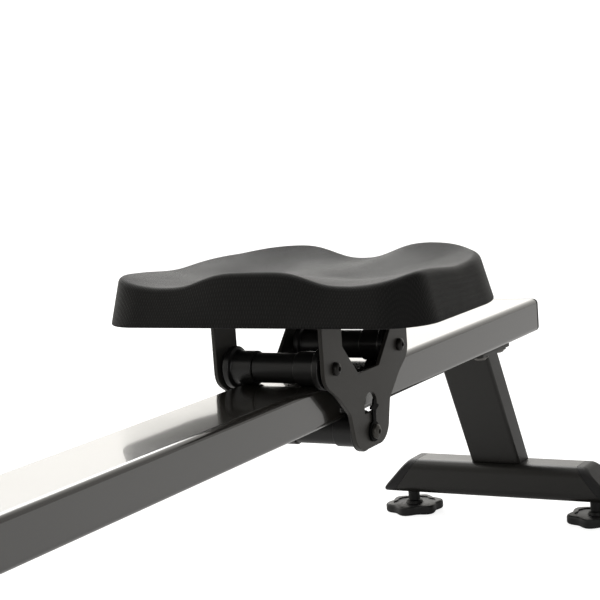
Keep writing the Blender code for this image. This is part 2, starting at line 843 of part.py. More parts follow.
def make_wheels(mover):
    # A wheel pair on each axle, with a spacer tube between the two wheels.
    bore = axle_radius + bore_clear
    hub = bore + hub_wall
    for end, (x, z) in axle_places().items():
        spin = pivot(end + "_wheel_axis", x, 0, z)
        spin.parent = mover
        bpy.context.view_layer.update()
        spin.matrix_parent_inverse = mover.matrix_world.inverted()
        for side, sign in (("left", 1), ("right", -1)):
            profile = [
                (hub, plate_inner - gap), (hub, flange_outer),
                (flange_radius - 0.001, flange_outer), (flange_radius, flange_outer - 0.0008),
                (flange_radius, flange_inner + 0.001), (tread_radius, flange_inner - 0.0005),
                (tread_radius, tread_inner + 0.0012), (tread_radius - 0.0008, tread_inner),
                (bore, tread_inner), (bore, plate_inner - gap),
            ]
            if sign < 0:
                profile = [(radius, -height) for radius, height in reversed(profile)]
            wheel = turned(end + "_wheel_" + side, profile, "y", (x, 0, z), 20)
            keep(wheel, "roller_plastic", spin)
        half = tread_inner - gap
        tube = [(spacer_radius, half), (spacer_radius, -half), (bore, -half), (bore, half)]
        keep(turned(end + "_spacer", tube, "y", (x, 0, z), 20), "black_plastic", spin)
        make_axle(end, x, z, mover)


def make_axle(end, x, z, mover):
    # The axle bolt, with its domed head on the right and its nut on the left.
    near = plate_outer + gap
    head = near + (tab_thickness + gap if end == "lower" else 0)
    nut = axle_radius + nut_wall
    size = axle_radius + lower_head_wall if end == "lower" else nut
    profile = [
        (0, near + 0.0075), (axle_radius, near + 0.0075), (axle_radius, near + 0.0065),
        (nut, near + 0.0060), (nut, near), (axle_radius, near),
        (axle_radius, -head), (size, -head), (size, -head - 0.0020),
        (size * 0.82, -head - 0.0038), (size * 0.45, -head - 0.0048), (0, -head - 0.0050),
    ]
    keep(turned(end + "_axle_bolt", profile, "y", (x, 0, z), 12), "dark_steel", mover)


def make_tab(mover):
    # A flat tab round the lower bolt, with a neck up to a star of four points.
    x, z = axle_places()["lower"]
    star_z = z + star_rise
    star_x = x + 0.0030
    ring = arc(x, z, 0.0098, math.radians(112), math.radians(428), 20)
    star = []
    for i in range(7):
        angle = math.radians(-45 + 45 * i)
        reach = 0.0078 if i % 2 == 0 else 0.0040
        for swing in (-0.16, 0.16):
            star.append(
                (star_x + reach * math.cos(angle + swing), star_z + reach * math.sin(angle + swing))
            )
    neck = 0.0028
    outline = ring + [(star_x + neck, star_z - 0.0090)] + star + [(star_x - neck, star_z - 0.0090)]
    hole = circle(x, z, axle_radius + bore_clear, 16)
    far = -plate_outer - gap
    tab = prism("roller_tab", [outline, hole], "y", far - tab_thickness, far)
    keep(tab, "dark_steel", mover)


def make_carriage():
    mover = pivot("seat_slide_axis", carriage_x, 0, rail_top)
    make_seat(mover)
    for side, sign in (("left", 1), ("right", -1)):
        make_carriage_plate(side, sign, mover)
    make_wheels(mover)
    make_tab(mover)


def make_front_stop():
    # A rubber block on the rail, which the front axle's spacer meets.
    rear = rail_front + front_stop_place
    low = rail_top + gap
    stop = box(
        "front_stop", (rear - 2 * stop_length, rear), (-0.020, 0.020),
        (low, low + front_stop_height), 0.002,
    )
    keep(stop, "rubber")


# Main frame


def make_main_frame():
    # The tube under the rail's front end, with the front leg and both cheeks welded to it.
    middle = spine_top - spine_height / 2
    loops = [
        rounded_box(spine_width, spine_height, 0.006, 0, middle),
        rounded_box(spine_width - 0.006, spine_height - 0.006, 0.003, 0, middle),
    ]
    frame = prism("main_frame", loops, "x", spine_front, spine_rear)
    place = (foot_axle_x, 0, foot_axle_z)
    frame = drill(frame, "y", place, foot_axle_radius + gap, 2 * spine_width)
    leg = make_leg(
        "front_leg", front_leg_x, spine_bottom + weld_depth,
        front_stabiliser_x, stabiliser_top + gap,
    )
    keep(joined(frame, leg, *make_cheeks()), "painted_steel")


def make_front_stabiliser():
    # The cross tube, with a pair of ears at each end for the transport wheels.
    x = front_stabiliser_x
    tube = make_stabiliser("front_stabiliser", x, front_stabiliser_seam)
    wheel_x, wheel_z = transport_place()
    for side, sign in (("left", 1), ("right", -1)):
        middle = sign * (front_stabiliser_seam - transport_inset)
        for ear in (1, -1):
            near = transport_width / 2 + ear_clear
            low, high = sorted((ear * near, ear * (near + ear_thickness)))
            outline = rounded([
                (wheel_x - 0.010, wheel_z - 0.010, 0.008),
                (x - stabiliser_depth / 4, stabiliser_bottom + 0.006, 0),
                (x - stabiliser_depth / 4, stabiliser_top - 0.006, 0),
                (wheel_x - 0.010, wheel_z + 0.010, 0.008),
            ], 3)
            tube = joined(tube, prism("ear", [outline], "y", middle + low, middle + high))
        pin = turned(
            "pin",
            [(0, pin_half_length), (transport_pin, pin_half_length),
             (transport_pin, -pin_half_length), (0, -pin_half_length)],
            "y", (wheel_x, middle, wheel_z), 12,
        )
        tube = joined(tube, pin)
        make_transport_wheel(side, wheel_x, middle, wheel_z)
        cap = make_stabiliser_cap("front_foot_" + side, x, front_stabiliser_seam, sign)
        foot_y = sign * (front_stabiliser_seam + stabiliser_cut + foot_out)
        foot = turned(
            "foot",
            [(0, stabiliser_bottom + 0.008), (foot_radius * 0.8, stabiliser_bottom + 0.008),
             (foot_radius, 0.002), (foot_radius - 0.002, 0), (0, 0)],
            "z", (x, foot_y, 0), 16,
        )
        slot = under_tube_cutter(x, sign)
        keep(joined(cap, cut(foot, slot)), "black_plastic")
    keep(tube, "painted_steel")


def under_tube_cutter(x, sign):
    # What the front foot must leave free: the tube above it, up to the slanted seam.
    upper, lower = end_slope(front_stabiliser_seam, gap)
    rate = stabiliser_cut / stabiliser_height
    floor_y = lower[0] - rate * (stabiliser_bottom - gap - lower[1])
    outline = [
        (sign * (front_stabiliser_seam - 0.05), stabiliser_bottom - gap),
        (sign * floor_y, stabiliser_bottom - gap),
        (sign * upper[0], upper[1]),
        (sign * (front_stabiliser_seam - 0.05), upper[1]),
    ]
    return prism("slot", [outline], "x", x - 0.05, x + 0.05)


def transport_place():
    return -machine_length / 2 + transport_radius, transport_radius + 0.004


def make_transport_wheel(side, x, y, z):
    spin = pivot("transport_axis_" + side, x, y, z)
    half = transport_width / 2
    bore = transport_pin + gap
    profile = [
        (transport_radius - 0.004, half), (transport_radius, half - 0.003),
        (transport_radius, -half + 0.003), (transport_radius - 0.004, -half),
        (bore, -half), (bore, half),
    ]
    wheel = turned("transport_wheel_" + side, profile, "y", (x, y, z), 20)
    keep(wheel, "rubber", spin)


def brake_pivot():
    angle = math.radians(65)
    reach = flywheel_radius + 0.030
    return flywheel_x + reach * math.cos(angle), flywheel_z + reach * math.sin(angle)


def roller_place():
    return handle_x - 0.060, handle_z - strap_thickness / 2 - gap - roller_radius


def make_cheeks():
    # Two steel plates on the sides of the spine carry the axles, the brake and the mast.
    pivot_x, pivot_z = brake_pivot()
    roller_x, roller_z = roller_place()
    low = spine_bottom + 0.008
    corners = [
        (flywheel_x - 0.060, low, 0.010),
        (drum_x + 0.075, low, 0.010),
        (drum_x + 0.045, drum_z - 0.020, 0.020),
        (roller_x + 0.012, roller_z - 0.012, 0.010),
        (roller_x + 0.012, roller_z + 0.014, 0.010),
        (roller_x - 0.030, roller_z + 0.014, 0.010),
        (mast_x + 0.035, drum_z + 0.105, 0.010),
        (pivot_x, pivot_z + 0.022, 0.014),
        (pivot_x - 0.022, pivot_z, 0.010),
        (flywheel_x - 0.012, flywheel_z + 0.050, 0.020),
        (flywheel_x - 0.050, flywheel_z, 0.020),
    ]
    holes = [
        circle(flywheel_x, flywheel_z, drive_axle_radius + gap),
        circle(drum_x, drum_z, drive_axle_radius + gap),
        circle(pivot_x, pivot_z, 0.005 + gap, 12),
        circle(roller_x, roller_z, 0.004 + gap, 12),
    ]
    cheeks = []
    for sign in (1, -1):
        near = sign * cheek_inner
        far = sign * cheek_outer
        loops = [rounded(corners, 3), *holes]
        cheeks.append(prism("cheek", loops, "y", min(near, far), max(near, far)))
    return cheeks


def console_place():
    return mast_x, housing_top + 0.098


def make_mast():
    # A rectangular tube between the cheeks, standing out of the housing.
    top = console_place()[1] - 0.012
    loops = [
        rounded_box(0.030, 2 * (cheek_inner - gap), leg_corner, mast_x, 0),
        rounded_box(0.030 - 2 * leg_wall, spine_width - 2 * leg_wall, leg_corner / 2, mast_x, 0),
    ]
    keep(prism("console_mast", loops, "z", drum_z + 0.062, top), "painted_steel")


def make_foot_axle():
    reach = footplate_inner + footplate_width + 0.006
    profile = [
        (0, reach), (foot_axle_radius, reach), (foot_axle_radius, -reach), (0, -reach),
    ]
    place = (foot_axle_x, 0, foot_axle_z)
    keep(turned("foot_axle", profile, "y", place, 16), "zinc")


# Drive


def make_flywheel():
    spin = pivot("flywheel_axis", flywheel_x, 0, flywheel_z)
    half = flywheel_width / 2
    thin = half * 0.4
    side = cheek_outer
    pulley = pulley_plane()
    profile = [
        (0, side + 0.010), (drive_axle_radius, side + 0.010), (drive_axle_radius, half + 0.006),
        (0.020, half + 0.006), (0.024, thin), (flywheel_radius - 0.028, thin),
        (flywheel_radius - 0.022, half), (flywheel_radius, half),
        (flywheel_radius, -half), (flywheel_radius - 0.022, -half),
        (flywheel_radius - 0.028, -thin), (0.024, -thin), (0.020, -half - 0.006),
        (drive_axle_radius, -half - 0.006), (drive_axle_radius, pulley + belt_width / 2 + 0.002),
        (small_pulley_radius, pulley + belt_width / 2 + 0.002),
        (small_pulley_radius, pulley - belt_width / 2 - 0.002),
        (0, pulley - belt_width / 2 - 0.002),
    ]
    wheel = turned("flywheel", profile, "y", (flywheel_x, 0, flywheel_z), 28)
    keep(wheel, "cast_iron", spin)


def pulley_plane():
    # The belt runs outside the right cheek.
    return -(cheek_outer + 0.004 + belt_width / 2)


def make_drum():
    spin = pivot("drum_axis", drum_x, 0, drum_z)
    half = strap_width / 2 + 0.001
    side = cheek_outer
    pulley = pulley_plane() - belt_width / 2 - 0.002
    profile = [
        (0, side + 0.020), (drive_axle_radius, side + 0.020), (drive_axle_radius, half + 0.004),
        (0.030, half + 0.004), (0.030, half), (drum_radius - gap, half),
        (drum_radius - gap, -half), (0.030, -half), (0.030, -half - 0.004),
        (drive_axle_radius, -half - 0.004), (drive_axle_radius, pulley - 0.004), (0, pulley - 0.004),
    ]
    keep(turned("strap_drum", profile, "y", (drum_x, 0, drum_z), 20), "black_plastic", spin)

    belt_spin = pivot("pulley_axis", drum_x, 0, drum_z)
    bore = drive_axle_radius + gap
    plane = pulley_plane()
    half = belt_width / 2 + 0.001
    profile = [
        (pulley_radius, plane + half), (pulley_radius, plane - half),
        (pulley_radius - 0.006, plane - half), (pulley_radius - 0.006, plane - 0.002),
        (0.018, plane - 0.002), (0.018, plane - half), (bore, plane - half),
        (bore, plane + half), (0.018, plane + half), (0.018, plane + 0.002),
        (pulley_radius - 0.006, plane + 0.002), (pulley_radius - 0.006, plane + half),
    ]
    pulley = turned("drive_pulley", profile, "y", (drum_x, 0, drum_z), 24)
    keep(pulley, "black_plastic", belt_spin)


def belt_loop(extra):
    # The belt's path round both pulleys, moved outwards.
    first = (drum_x, drum_z)
    second = (flywheel_x, flywheel_z)
    big = pulley_radius + extra
    small = small_pulley_radius + extra
    upper = tangent_angle(second, small, first, big)
    lower = 2 * math.atan2(first[1] - second[1], first[0] - second[0]) - upper
    loop = arc(*first, big, upper, lower, 16)
    loop += arc(*second, small, lower, upper - 2 * math.pi, 8)
    return loop


def make_belt():
    plane = pulley_plane()
    loops = [belt_loop(belt_clear + belt_thickness), belt_loop(belt_clear)]
    belt = prism("drive_belt", loops, "y", plane - belt_width / 2, plane + belt_width / 2)
    keep(belt, "rubber")


def make_spring():
    # The flat spiral spring that winds the strap in, beside the left cheek.
    turns = 4.25
    steps = 46
    inner = drive_axle_radius + 0.003
    pitch = 0.0055
    path = []
    for i in range(steps + 1):
        angle = 2 * math.pi * turns * i / steps
        reach = inner + pitch * angle / (2 * math.pi)
        path.append((drum_x + reach * math.cos(angle), drum_z + reach * math.sin(angle)))
    low = cheek_outer + 0.003
    keep(prism("recoil_spring", [band(path, 0.0012)], "y", low, low + 0.012), "dark_steel")


def make_brake():
    # A curved steel arm with the magnets, hinged between the cheeks above the flywheel.
    pivot_x, pivot_z = brake_pivot()
    swing = pivot("brake_axis", pivot_x, 0, pivot_z)
    near = flywheel_radius + brake_gap
    first = math.radians(74)
    last = math.radians(142)
    inner = arc(flywheel_x, flywheel_z, near, first, last, 10)
    outer = arc(flywheel_x, flywheel_z, near + brake_thickness, last, first, 10)
    boss = arc(pivot_x, pivot_z, 0.009, math.radians(100), math.radians(-120), 8)
    path = [Vector(point) - Vector((pivot_x, pivot_z)) for point in inner + outer + boss]
    turn = -brake_open
    opened = [
        (
            pivot_x + p.x * math.cos(turn) - p.y * math.sin(turn),
            pivot_z + p.x * math.sin(turn) + p.y * math.cos(turn),
        )
        for p in path
    ]
    half = flywheel_width / 2 + 0.004
    arm = prism("brake_arm", [opened], "y", -half, half)
    reach = cheek_outer + 0.002
    pin = turned(
        "pin", [(0, reach), (0.005, reach), (0.005, -reach), (0, -reach)],
        "y", (pivot_x, 0, pivot_z), 12,
    )
    keep(joined(arm, pin), "zinc", swing)


def knob_place():
    return flywheel_x - 0.045


def make_knob():
    # The resistance knob on the housing, with the screw that presses on the brake arm.
    x = knob_place()
    spin = pivot("knob_axis", x, 0, housing_top)
    arm_radius = flywheel_radius + brake_gap + brake_thickness
    arm_top = flywheel_z + math.sqrt(arm_radius**2 - (x - flywheel_x) ** 2)
    lift = (brake_pivot()[0] - x) * math.sin(brake_open)
    rod_end = arm_top + lift + rod_clear - housing_top
    profile = [
        (0, 0.030), (0.018, 0.030), (0.022, 0.026), (0.026, 0.004), (0.026, 0.0008),
        (0.004, 0.0008), (0.004, rod_end), (0, rod_end),
    ]
    knob = turned("resistance_knob", profile, "z", (x, 0, housing_top), 24)
    keep(knob, "black_plastic", spin)


def strap_path():
    # From the drum up over the guide roller, then level to the handle's clip.
    roller = roller_place()
    lift = gap + strap_thickness / 2
    angle = tangent_angle((drum_x, drum_z), drum_radius + lift, roller, roller_radius + lift)
    reach = drum_radius + lift
    start = (drum_x + reach * math.cos(angle), drum_z + reach * math.sin(angle))
    over = arc(*roller, roller_radius + lift, angle, math.pi / 2, 6)
    return [start] + over + [(handle_x - clip_back - strap_clear, handle_z)]


def make_strap_and_handle():
    mover = pivot("handle_axis", handle_x, 0, handle_z)
    half = strap_width / 2
    strap = prism("pull_strap", [band(strap_path(), strap_thickness)], "y", -half, half)
    keep(strap, "webbing", mover)

    roller_x, roller_z = roller_place()
    spin = pivot("roller_axis", roller_x, 0, roller_z)
    reach = cheek_outer + 0.002
    wide = cheek_inner - 0.002
    profile = [
        (0, reach), (0.004, reach), (0.004, wide), (roller_radius, wide),
        (roller_radius, -wide), (0.004, -wide), (0.004, -reach), (0, -reach),
    ]
    roller = turned("guide_roller", profile, "y", (roller_x, 0, roller_z), 20)
    keep(roller, "roller_plastic", spin)

    half = handle_half_length - 0.004
    clip = strap_width / 2 + 0.0045
    profile = [
        (0, half), (handle_radius, half), (handle_radius, -half), (0, -half),
    ]
    bar = turned("handle_bar", profile, "y", (handle_x, 0, handle_z), 20)
    block = box(
        "block", (handle_x - clip_back, handle_x + clip_half), (-clip, clip),
        (handle_z - clip_half, handle_z + clip_half), 0.003,
    )
    keep(joined(bar, block), "dark_steel", mover)
    for side, sign in (("left", 1), ("right", -1)):
        end = handle_half_length
        start = end - grip_length
        bore = handle_radius + gap
        inside = handle_half_length - 0.004 + gap
        profile = [
            (0, end), (grip_radius - 0.003, end), (grip_radius, end - 0.003),
            (grip_radius, start + 0.001), (grip_radius - 0.001, start), (bore, start),
            (bore, inside), (0, inside),
        ]
        if sign < 0:
            profile = [(radius, -height) for radius, height in reversed(profile)]
        grip = turned("grip_" + side, profile, "y", (handle_x, 0, handle_z), 20)
        keep(grip, "grip_foam", mover)


# Housing, handle rest and console


def housing_outline(inset):
    flywheel_front = flywheel_x - flywheel_radius
    corners = [
        (flywheel_front - 0.020, spine_top + 0.0015, 0.030),
        (drum_x + 0.090, spine_top + 0.0015, 0.020),
        (drum_x + 0.083, drum_z + 0.035, 0.060),
        (handle_x - 0.042, handle_z - 0.020, 0.010),
        (handle_x - 0.042, handle_z + 0.030, 0.014),
        (handle_x - 0.100, housing_top, 0.040),
        (flywheel_front + 0.025, housing_top, 0.080),
        (flywheel_front - 0.067, flywheel_z + 0.064, 0.120),
    ]
    loop = rounded(corners, 3)
    return offset_path(loop + loop[:1], inset)[:-1] if inset > 0 else loop


def make_housing(side, sign):
    split = gap / 2
    low = sign * split
    high = sign * housing_half_width
    shell = prism("housing_" + side, [housing_outline(0)], "y", min(low, high), max(low, high))
    shell = as_mesh(shell)
    reach = (housing_half_width - split) / 2
    outward = -sign * reach
    shell = round_edges(
        shell,
        lambda a, b: abs(a.z - outward) < 0.0001 and abs(b.z - outward) < 0.0001,
        housing_round, 2,
    )
    inner_high = sign * (housing_half_width - housing_wall)
    inner_low = -sign * 0.01
    hollow = prism(
        "hollow", [housing_outline(housing_wall)], "y",
        min(inner_low, inner_high), max(inner_low, inner_high),
    )
    hollow = round_edges(
        hollow,
        lambda a, b: min(a.z * -sign, b.z * -sign) > 0.02,
        housing_round - housing_wall, 2,
    )
    side_gap = 0.003
    cheek_side = cheek_outer + side_gap
    under = box(
        "under", (flywheel_x - 0.070, drum_x + 0.085), (-sign * 0.002, sign * cheek_side),
        (spine_bottom, spine_top + 0.012),
    )
    top = box(
        "top", (mast_x - 0.015 - 0.0015, mast_x + 0.015 + 0.0015),
        (-sign * 0.002, sign * (spine_width / 2 + 0.0015)), (housing_top - 0.02, housing_top + 0.02),
    )
    slot = box(
        "slot", (handle_x - 0.060, handle_x - 0.030), (-sign * 0.002, sign * (strap_width / 2 + 0.003)),
        (handle_z - 0.005, handle_z + 0.005),
    )
    shell = cut(shell, hollow, under, top, slot)
    shell = drill(shell, "z", (knob_place(), 0, housing_top), 0.005, 0.02)
    keep(shell, "grey_plastic")


def make_handle_rest():
    # Two arms on a plate, each with a notch open to the rear that the bar rests in.
    face = handle_x - 0.042 + gap
    tall = handle_radius + 0.0055
    rest = box(
        "handle_rest", (face, face + 0.004), (-0.062, 0.062), (handle_z - 0.018, handle_z + 0.028)
    )
    for sign in (1, -1):
        arm = box(
            "arm", (face + 0.002, handle_x + 0.008), (sign * 0.044, sign * 0.060),
            (handle_z - tall, handle_z + tall), 0.0015,
        )
        rest = joined(rest, arm)
    notch = rounded([
        (handle_x - handle_radius - gap, handle_z - handle_radius - gap, handle_radius),
        (handle_x + 0.03, handle_z - handle_radius - gap, 0),
        (handle_x + 0.03, handle_z + handle_radius + gap, 0),
        (handle_x - handle_radius - gap, handle_z + handle_radius + gap, handle_radius),
    ], 6)
    rest = cut(rest, prism("notch", [notch], "y", -0.07, 0.07))
    slot = box(
        "slot", (face - 0.01, face + 0.01),
        (-strap_width / 2 - 0.003, strap_width / 2 + 0.003), (handle_z - 0.005, handle_z + 0.005),
    )
    keep(cut(rest, slot), "black_plastic")


def make_console():
    # Built upright round its hinge, then leant back with the hinge's empty.
    x, z = console_place()
    tilt = pivot("console_axis", x, 0, z, console_tilt)
    rear = console_depth / 2
    low = 0.004
    screen = console_width / 2 - 0.023
    screen_low = low + 0.042
    screen_high = low + console_height - 0.012
    body = box(
        "console_body", (-rear, rear), (-console_width / 2, console_width / 2),
        (low, low + console_height), 0.006, tilt,
    )
    window = box(
        "window", (rear - 0.002, rear + 0.01), (-screen, screen), (screen_low, screen_high), 0, tilt
    )
    well = box("well", (rear - 0.006, rear + 0.01), (-0.016, 0.016), (low + 0.010, low + 0.028), 0, tilt)
    lug = box(
        "lug", (-0.010, 0.010), (-0.022, 0.022), (-0.008, low + 0.006), 0, tilt
    )
    body = cut(joined(body, lug), window, well)
    keep(body, "black_plastic")
    lens = box(
        "console_lens", (rear - 0.002 + gap, rear + 0.0006), (-screen + gap, screen - gap),
        (screen_low + gap, screen_high - gap), 0, tilt,
    )
    keep(lens, "lens")
    button = box(
        "console_button", (rear - 0.0035, rear + 0.0020), (-0.016 + gap, 0.016 - gap),
        (low + 0.010 + gap, low + 0.028 - gap), 0, tilt,
    )
    keep(button, "button")


# Footplates


def make_footplate(side, sign):
    # Built level round its axle, then tilted with the axle's empty.
    swing = pivot("footplate_axis_" + side, foot_axle_x, 0, foot_axle_z, foot_slope)
    inner = sign * footplate_inner
    outer = sign * (footplate_inner + footplate_width)
    under = foot_axle_radius + 0.008
    top = under + footplate_thickness
    plate = box(
        "footplate_" + side, (-footplate_toe, footplate_heel), (inner, outer), (under, top),
        0.002, swing,
    )
    stop = box(
        "stop", (footplate_heel - 0.011, footplate_heel - 0.003),
        (inner + sign * 0.003, outer - sign * 0.003), (under + 0.003, top + 0.028), 0.0, swing,
    )
    plate = joined(plate, stop)
    lug = rounded([
        (-0.030, under + 0.003, 0), (-0.012, -0.012, 0.011), (0.012, -0.012, 0.011),
        (0.030, under + 0.003, 0),
    ], 3)
    start = footplate_inner + 0.012
    lug = prism(
        "lug", [lug], "y", sign * start, sign * (start + footplate_width - 0.024), swing
    )
    plate = joined(plate, lug)
    bore = foot_axle_radius + gap
    middle = sign * (footplate_inner + footplate_width / 2)
    plate = drill(plate, "y", (0, middle, 0), bore, footplate_width + 0.02, 16, swing)
    keep(plate, "black_plastic")

    low = under + footplate_thickness + gap
    path = rounded([
        (sign * (footplate_inner + 0.005), low, 0),
        (sign * (footplate_inner + 0.012), low + 0.072, 0.034),
        (sign * (footplate_inner + footplate_width - 0.012), low + 0.072, 0.034),
        (sign * (footplate_inner + footplate_width - 0.005), low, 0),
    ], 6)
    strap = prism("foot_strap_" + side, [band(path, 0.0025)], "x", -0.082, -0.044, swing)
    keep(strap, "webbing")


def main():
    clear_scene()
    add_looks()
    make_rail()
    leg_top = rail_bottom - gap - mount_plate_thickness - gap
    leg_foot = stabiliser_top + gap
    make_leg("rear_leg", rear_leg_x + 0.0045 / math.tan(rear_leg_lean), leg_top,
             rear_stabiliser_x, leg_foot)
    make_mount_plate()
    make_rear_stop()
    make_rear_stabiliser()
    make_carriage()
    make_front_stop()
    make_main_frame()
    make_front_stabiliser()
    make_mast()
    make_foot_axle()
    make_flywheel()
    make_drum()
    make_belt()
    make_spring()
    make_brake()
    make_knob()
    make_strap_and_handle()
    for side, sign in (("left", 1), ("right", -1)):
        make_housing(side, sign)
        make_footplate(side, sign)
    make_handle_rest()
    make_console()


main()
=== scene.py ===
# Rowing machine: the looks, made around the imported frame.
# +X runs rearwards along the rail, +Y to the left, +Z up. Sizes are in metres.

import math

import bmesh
import bpy
import numpy as np
from mathutils import Matrix, Vector


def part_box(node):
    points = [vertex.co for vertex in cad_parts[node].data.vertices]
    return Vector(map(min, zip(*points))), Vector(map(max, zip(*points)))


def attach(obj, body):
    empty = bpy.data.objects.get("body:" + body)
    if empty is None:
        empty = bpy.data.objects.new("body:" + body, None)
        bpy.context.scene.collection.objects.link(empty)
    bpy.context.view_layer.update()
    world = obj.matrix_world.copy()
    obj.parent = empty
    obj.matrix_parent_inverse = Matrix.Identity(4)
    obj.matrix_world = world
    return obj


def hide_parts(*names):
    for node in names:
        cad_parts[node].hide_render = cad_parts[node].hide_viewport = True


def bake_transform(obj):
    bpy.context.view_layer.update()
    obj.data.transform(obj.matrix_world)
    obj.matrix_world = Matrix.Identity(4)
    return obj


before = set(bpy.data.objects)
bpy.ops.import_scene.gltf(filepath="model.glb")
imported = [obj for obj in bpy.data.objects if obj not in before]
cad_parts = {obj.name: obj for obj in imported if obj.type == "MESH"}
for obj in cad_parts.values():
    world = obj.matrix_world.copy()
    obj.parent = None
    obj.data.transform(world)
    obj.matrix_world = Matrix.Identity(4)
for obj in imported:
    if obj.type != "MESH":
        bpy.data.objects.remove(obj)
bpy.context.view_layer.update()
print("frame loaded:", len(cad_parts), "nodes")
clearance = 0.0003  # left between pieces that touch


# Surfaces

def spanOf(node):
    low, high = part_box(node)
    return np.array(low), np.array(high)


def middleOf(node):
    low, high = spanOf(node)
    return (low + high) / 2


def smoothStep(value, low, high):
    # 0 below low and 1 above high, with 3t^2 - 2t^3 between.
    t = np.clip((value - low) / (high - low), 0, 1)
    return t * t * (3 - 2 * t)


def filleted(corners, steps=6, closed=True):
    # A path through (u, v, radius) corners: each corner is an arc that touches both its sides.
    count = len(corners)
    path = []
    for i, (u, v, radius) in enumerate(corners):
        here = np.array((u, v), float)
        if radius <= 0 or (not closed and i in (0, count - 1)):
            path.append(here[None])
            continue
        back = np.array(corners[i - 1][:2]) - here
        onward = np.array(corners[(i + 1) % count][:2]) - here
        back = back / np.linalg.norm(back)
        onward = onward / np.linalg.norm(onward)
        half = math.acos(float(np.clip(back @ onward, -1, 1))) / 2
        bisector = (back + onward) / np.linalg.norm(back + onward)
        centre = here + bisector * radius / math.sin(half)
        start = here + back * radius / math.tan(half) - centre
        end = here + onward * radius / math.tan(half) - centre
        first = math.atan2(start[1], start[0])
        sweep = math.remainder(math.atan2(end[1], end[0]) - first, 2 * math.pi)
        angle = first + sweep * np.linspace(0, 1, steps + 1)
        path.append(centre + radius * np.stack([np.cos(angle), np.sin(angle)], -1))
    return np.concatenate(path)


def boxLoop(width, height, radius, steps=5, centre=(0, 0)):
    # A rectangle with round corners: corner centre + radius (cos t, sin t), a quarter turn each.
    signs = [(1, 1), (-1, 1), (-1, -1), (1, -1)]
    u = np.array([s[0] for s in signs])[:, None] * (width / 2 - radius)
    v = np.array([s[1] for s in signs])[:, None] * (height / 2 - radius)
    angle = (np.arange(4)[:, None] + np.linspace(0, 1, steps + 1)) * math.pi / 2
    loop = np.stack([u + radius * np.cos(angle), v + radius * np.sin(angle)], -1)
    return loop.reshape(-1, 2) + np.array(centre)


def evenly(loop, count):
    # A closed loop's points spaced evenly by arc length.
    ends = np.vstack([loop, loop[:1]])
    reach = np.r_[0, np.cumsum(np.linalg.norm(np.diff(ends, axis=0), axis=1))]
    goal = np.linspace(0, reach[-1], count, endpoint=False)
    return np.stack([np.interp(goal, reach, ends[:, k]) for k in range(ends.shape[1])], -1)


def placed(loop, height, axis):
    # A flat loop's (u, v) points set at a height along an axis.
    u, v = loop[..., 0], loop[..., 1]
    w = np.broadcast_to(height, u.shape)
    order = {"x": (w, u, v), "y": (u, w, v), "z": (u, v, w)}[axis]
    return np.stack(order, -1)


def sheetOf(points, rowsMeet=False, columnsMeet=False, capFirst=False, capLast=False):
    # A grid of points, with what its edges do.
    return points, rowsMeet, columnsMeet, capFirst, capLast


def ringed(rows, capFirst=True, capLast=True):
    # Rings of points one after another, closed round, with flat faces over the two ends.
    return sheetOf(np.stack(rows), False, True, capFirst, capLast)


def turnedSheet(profile, centre, axis="y", steps=64):
    # Point = centre + radius (cos t, sin t) across the axis + height along it.
    angle = np.linspace(0, 2 * math.pi, steps, endpoint=False)
    profile = np.asarray(profile, float)
    across = profile[:, :1, None] * np.stack([np.cos(angle), np.sin(angle)], -1)
    points = placed(across, profile[:, 1][:, None], axis) + np.array(centre, float)
    return sheetOf(points, False, True)


def hollowTube(outer, inner, low, high, axis):
    # A tube's wall: the outer loop from low to high, and the inner loop back again.
    soften = 0.0006
    shrink = lambda loop: loop + (loop.mean(0) - loop) * soften / 0.02
    rows = [placed(shrink(outer), low, axis), placed(outer, low + soften, axis),
            placed(outer, high - soften, axis), placed(shrink(outer), high, axis),
            placed(inner, high, axis), placed(inner, low, axis)]
    return sheetOf(np.stack(rows), True, True)


def roundSlab(loopAt, low, high, axis, radius, steps=4):
    # A flat piece with round edges: loopAt(inset) at each height, inset = r (1 - sin t).
    t = np.linspace(0, math.pi / 2, steps + 1)
    insets = radius * (1 - np.sin(t))
    rises = radius * (1 - np.cos(t))
    rows = [placed(loopAt(i), low + r, axis) for i, r in zip(insets, rises)]
    rows += [placed(loopAt(i), high - r, axis) for i, r in zip(insets[::-1], rises[::-1])]
    return ringed(rows)


def bothSides(half):
    # A turned profile's upper half, then the same half mirrored below it.
    return half + [(radius, -height, corner) for radius, height, corner in reversed(half)]


def insetLoop(loop, distance):
    # Each point moved inwards along the mean of its two edges' normals, for a loop run anticlockwise.
    before = loop - np.roll(loop, 1, 0)
    after = np.roll(loop, -1, 0) - loop
    before = before / np.maximum(np.linalg.norm(before, axis=1, keepdims=True), 1e-9)
    after = after / np.maximum(np.linalg.norm(after, axis=1, keepdims=True), 1e-9)
    along = before + after
    along = along / np.maximum(np.linalg.norm(along, axis=1, keepdims=True), 1e-9)
    spread = np.clip((1 + (before * after).sum(1, keepdims=True)) / 2, 0.25, 1) ** 0.5
    return loop + np.stack([-along[:, 1], along[:, 0]], -1) * distance / spread


def blockSheet(x, y, z, radius=0.002, axis="z", corner=None):
    # A block between the low and high of each axis, its edges round.
    spans = {"x": x, "y": y, "z": z}
    u, v = [spans[k] for k in "xyz" if k != axis]
    corner = max(corner or radius, radius)

    def loopAt(inset):
        return boxLoop(
            abs(u[1] - u[0]) - 2 * inset, abs(v[1] - v[0]) - 2 * inset,
            max(corner - inset, 0.0002), 4, (sum(u) / 2, sum(v) / 2),
        )

    return roundSlab(loopAt, min(spans[axis]), max(spans[axis]), axis, radius, 3)


